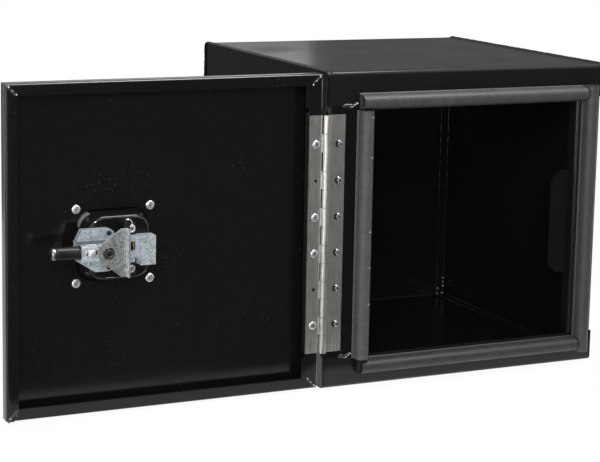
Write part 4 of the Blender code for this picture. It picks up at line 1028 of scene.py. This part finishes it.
def add_floor():
    shape = bmesh.new()
    bmesh.ops.create_grid(shape, x_segments=1, y_segments=1, size=6.0)
    mesh = bpy.data.meshes.new("floor")
    shape.to_mesh(mesh)
    shape.free()
    floor = bpy.data.objects.new("floor", mesh)
    floor.location.z = cad_low.z - 0.0006
    bpy.context.scene.collection.objects.link(floor)
    material = bpy.data.materials.new("pale_floor")
    material.use_nodes = True
    web = Web(material.node_tree)
    shader = material.node_tree.nodes["Principled BSDF"]
    shader.inputs["Base Color"].default_value = FLOOR_COLOUR
    shader.inputs["Roughness"].default_value = 0.9
    shader.inputs["Specular IOR Level"].default_value = 0.1
    glow = web.add("ShaderNodeEmission", Strength=1.0)
    mix = web.add("ShaderNodeMixShader")
    place = web.add("ShaderNodeTexCoord").outputs["Object"]
    distance = web.add("ShaderNodeVectorMath", operation="LENGTH")
    web.link(place, distance.inputs[0])
    white_share = web.spread(distance.outputs["Value"], 0.7, 1.5, FLOOR_WHITE_SHARE, 1.0)
    web.link(web.math("MULTIPLY", background_share(web), white_share), mix.inputs[0])
    web.link(shader.outputs[0], mix.inputs[1])
    web.link(glow.outputs[0], mix.inputs[2])
    web.link(mix.outputs[0], material.node_tree.nodes["Material Output"].inputs["Surface"])
    mesh.materials.append(material)


def softbox(name, place, target, width, height, power):
    data = bpy.data.lights.new(name, "AREA")
    data.shape = "RECTANGLE"
    data.size = width
    data.size_y = height
    data.energy = power
    lamp = bpy.data.objects.new(name, data)
    lamp.location = place
    lamp.rotation_euler = (Vector(target) - Vector(place)).to_track_quat("-Z", "Y").to_euler()
    bpy.context.scene.collection.objects.link(lamp)
    return lamp


def grey_card(name, corners, tone):
    """Flat studio card that only shiny surfaces see."""
    shape = bmesh.new()
    shape.faces.new([shape.verts.new(corner) for corner in corners])
    mesh = bpy.data.meshes.new(name)
    shape.to_mesh(mesh)
    shape.free()
    material = bpy.data.materials.new(name)
    material.use_nodes = True
    web = Web(material.node_tree)
    glow = web.add("ShaderNodeEmission", Color=(tone, tone, tone, 1), Strength=1.0)
    web.link(glow.outputs[0], material.node_tree.nodes["Material Output"].inputs["Surface"])
    mesh.materials.append(material)
    card = bpy.data.objects.new(name, mesh)
    card.visible_camera = False
    card.visible_diffuse = False
    card.visible_transmission = False
    card.visible_shadow = False
    bpy.context.scene.collection.objects.link(card)


def add_cards():
    near_floor = cad_low.z - 0.0003
    on_floor = ((-0.72, -0.32), (3.0, -0.32), (3.0, -2.6), (-0.72, -2.6))
    grey_card("front_floor_card", [(x, y, near_floor) for x, y in on_floor], FRONT_CARD_TONE)
    in_front = ((-0.3, 0), (3.0, 0), (3.0, 1.8), (-0.3, 1.8))
    grey_card("front_card", [(x, -2.6, z) for x, z in in_front], FRONT_CARD_TONE)
    behind = ((-1.15, 0), (3.0, 0), (3.0, 2.0), (0.42, 2.0), (0.42, 0.622), (-1.15, 0.622))
    grey_card("back_card", [(x, 1.2, z) for x, z in behind], BACK_CARD_TONE)


def add_lights():
    middle = (-0.2, -0.1, 0.25)
    softbox("overhead_softbox", (0.23, -0.45, 2.4), middle, 0.86, 1.1, 52)
    softbox("camera_softbox", (-1.5, -2.7, 1.5), (0.0, 0.0, 0.25), 1.4, 1.2, 46).visible_glossy = False
    softbox("left_strip", (-2.4, -0.9, 0.35), (-0.5, -0.2, 0.25), 0.25, 1.4, 13)
    softbox("glint_lamp", (-1.0, -2.6, 1.35), (0.0, 0.0, 0.25), 0.14, 0.14, 7)


add_camera()
add_world()
add_floor()
add_cards()
add_lights()
dress_frame()
# Painted shade: darker zinc on the upward faces of the latch channel
tint_faces("bolt_housing", "shaded_zinc", on_channel_top)
# Painted highlight: bright zinc on the rim faces of the dull pull plate
tint_faces("pull_plate", "zinc", on_rim)
# Painted highlight: pale wedge on the latch pan's upper corner
tint_faces("latch_pan", "shoulder_painted_highlight", on_pan_shoulder)
for seal_node in ("top_seal", "bottom_seal", "left_seal", "right_seal"):
    bulb_seal(seal_node, seal_node in ("bottom_seal", "right_seal"))
add_creases()
add_rivets()
add_latch_details()
add_welds()
bpy.context.scene.view_settings.view_transform = "Standard"
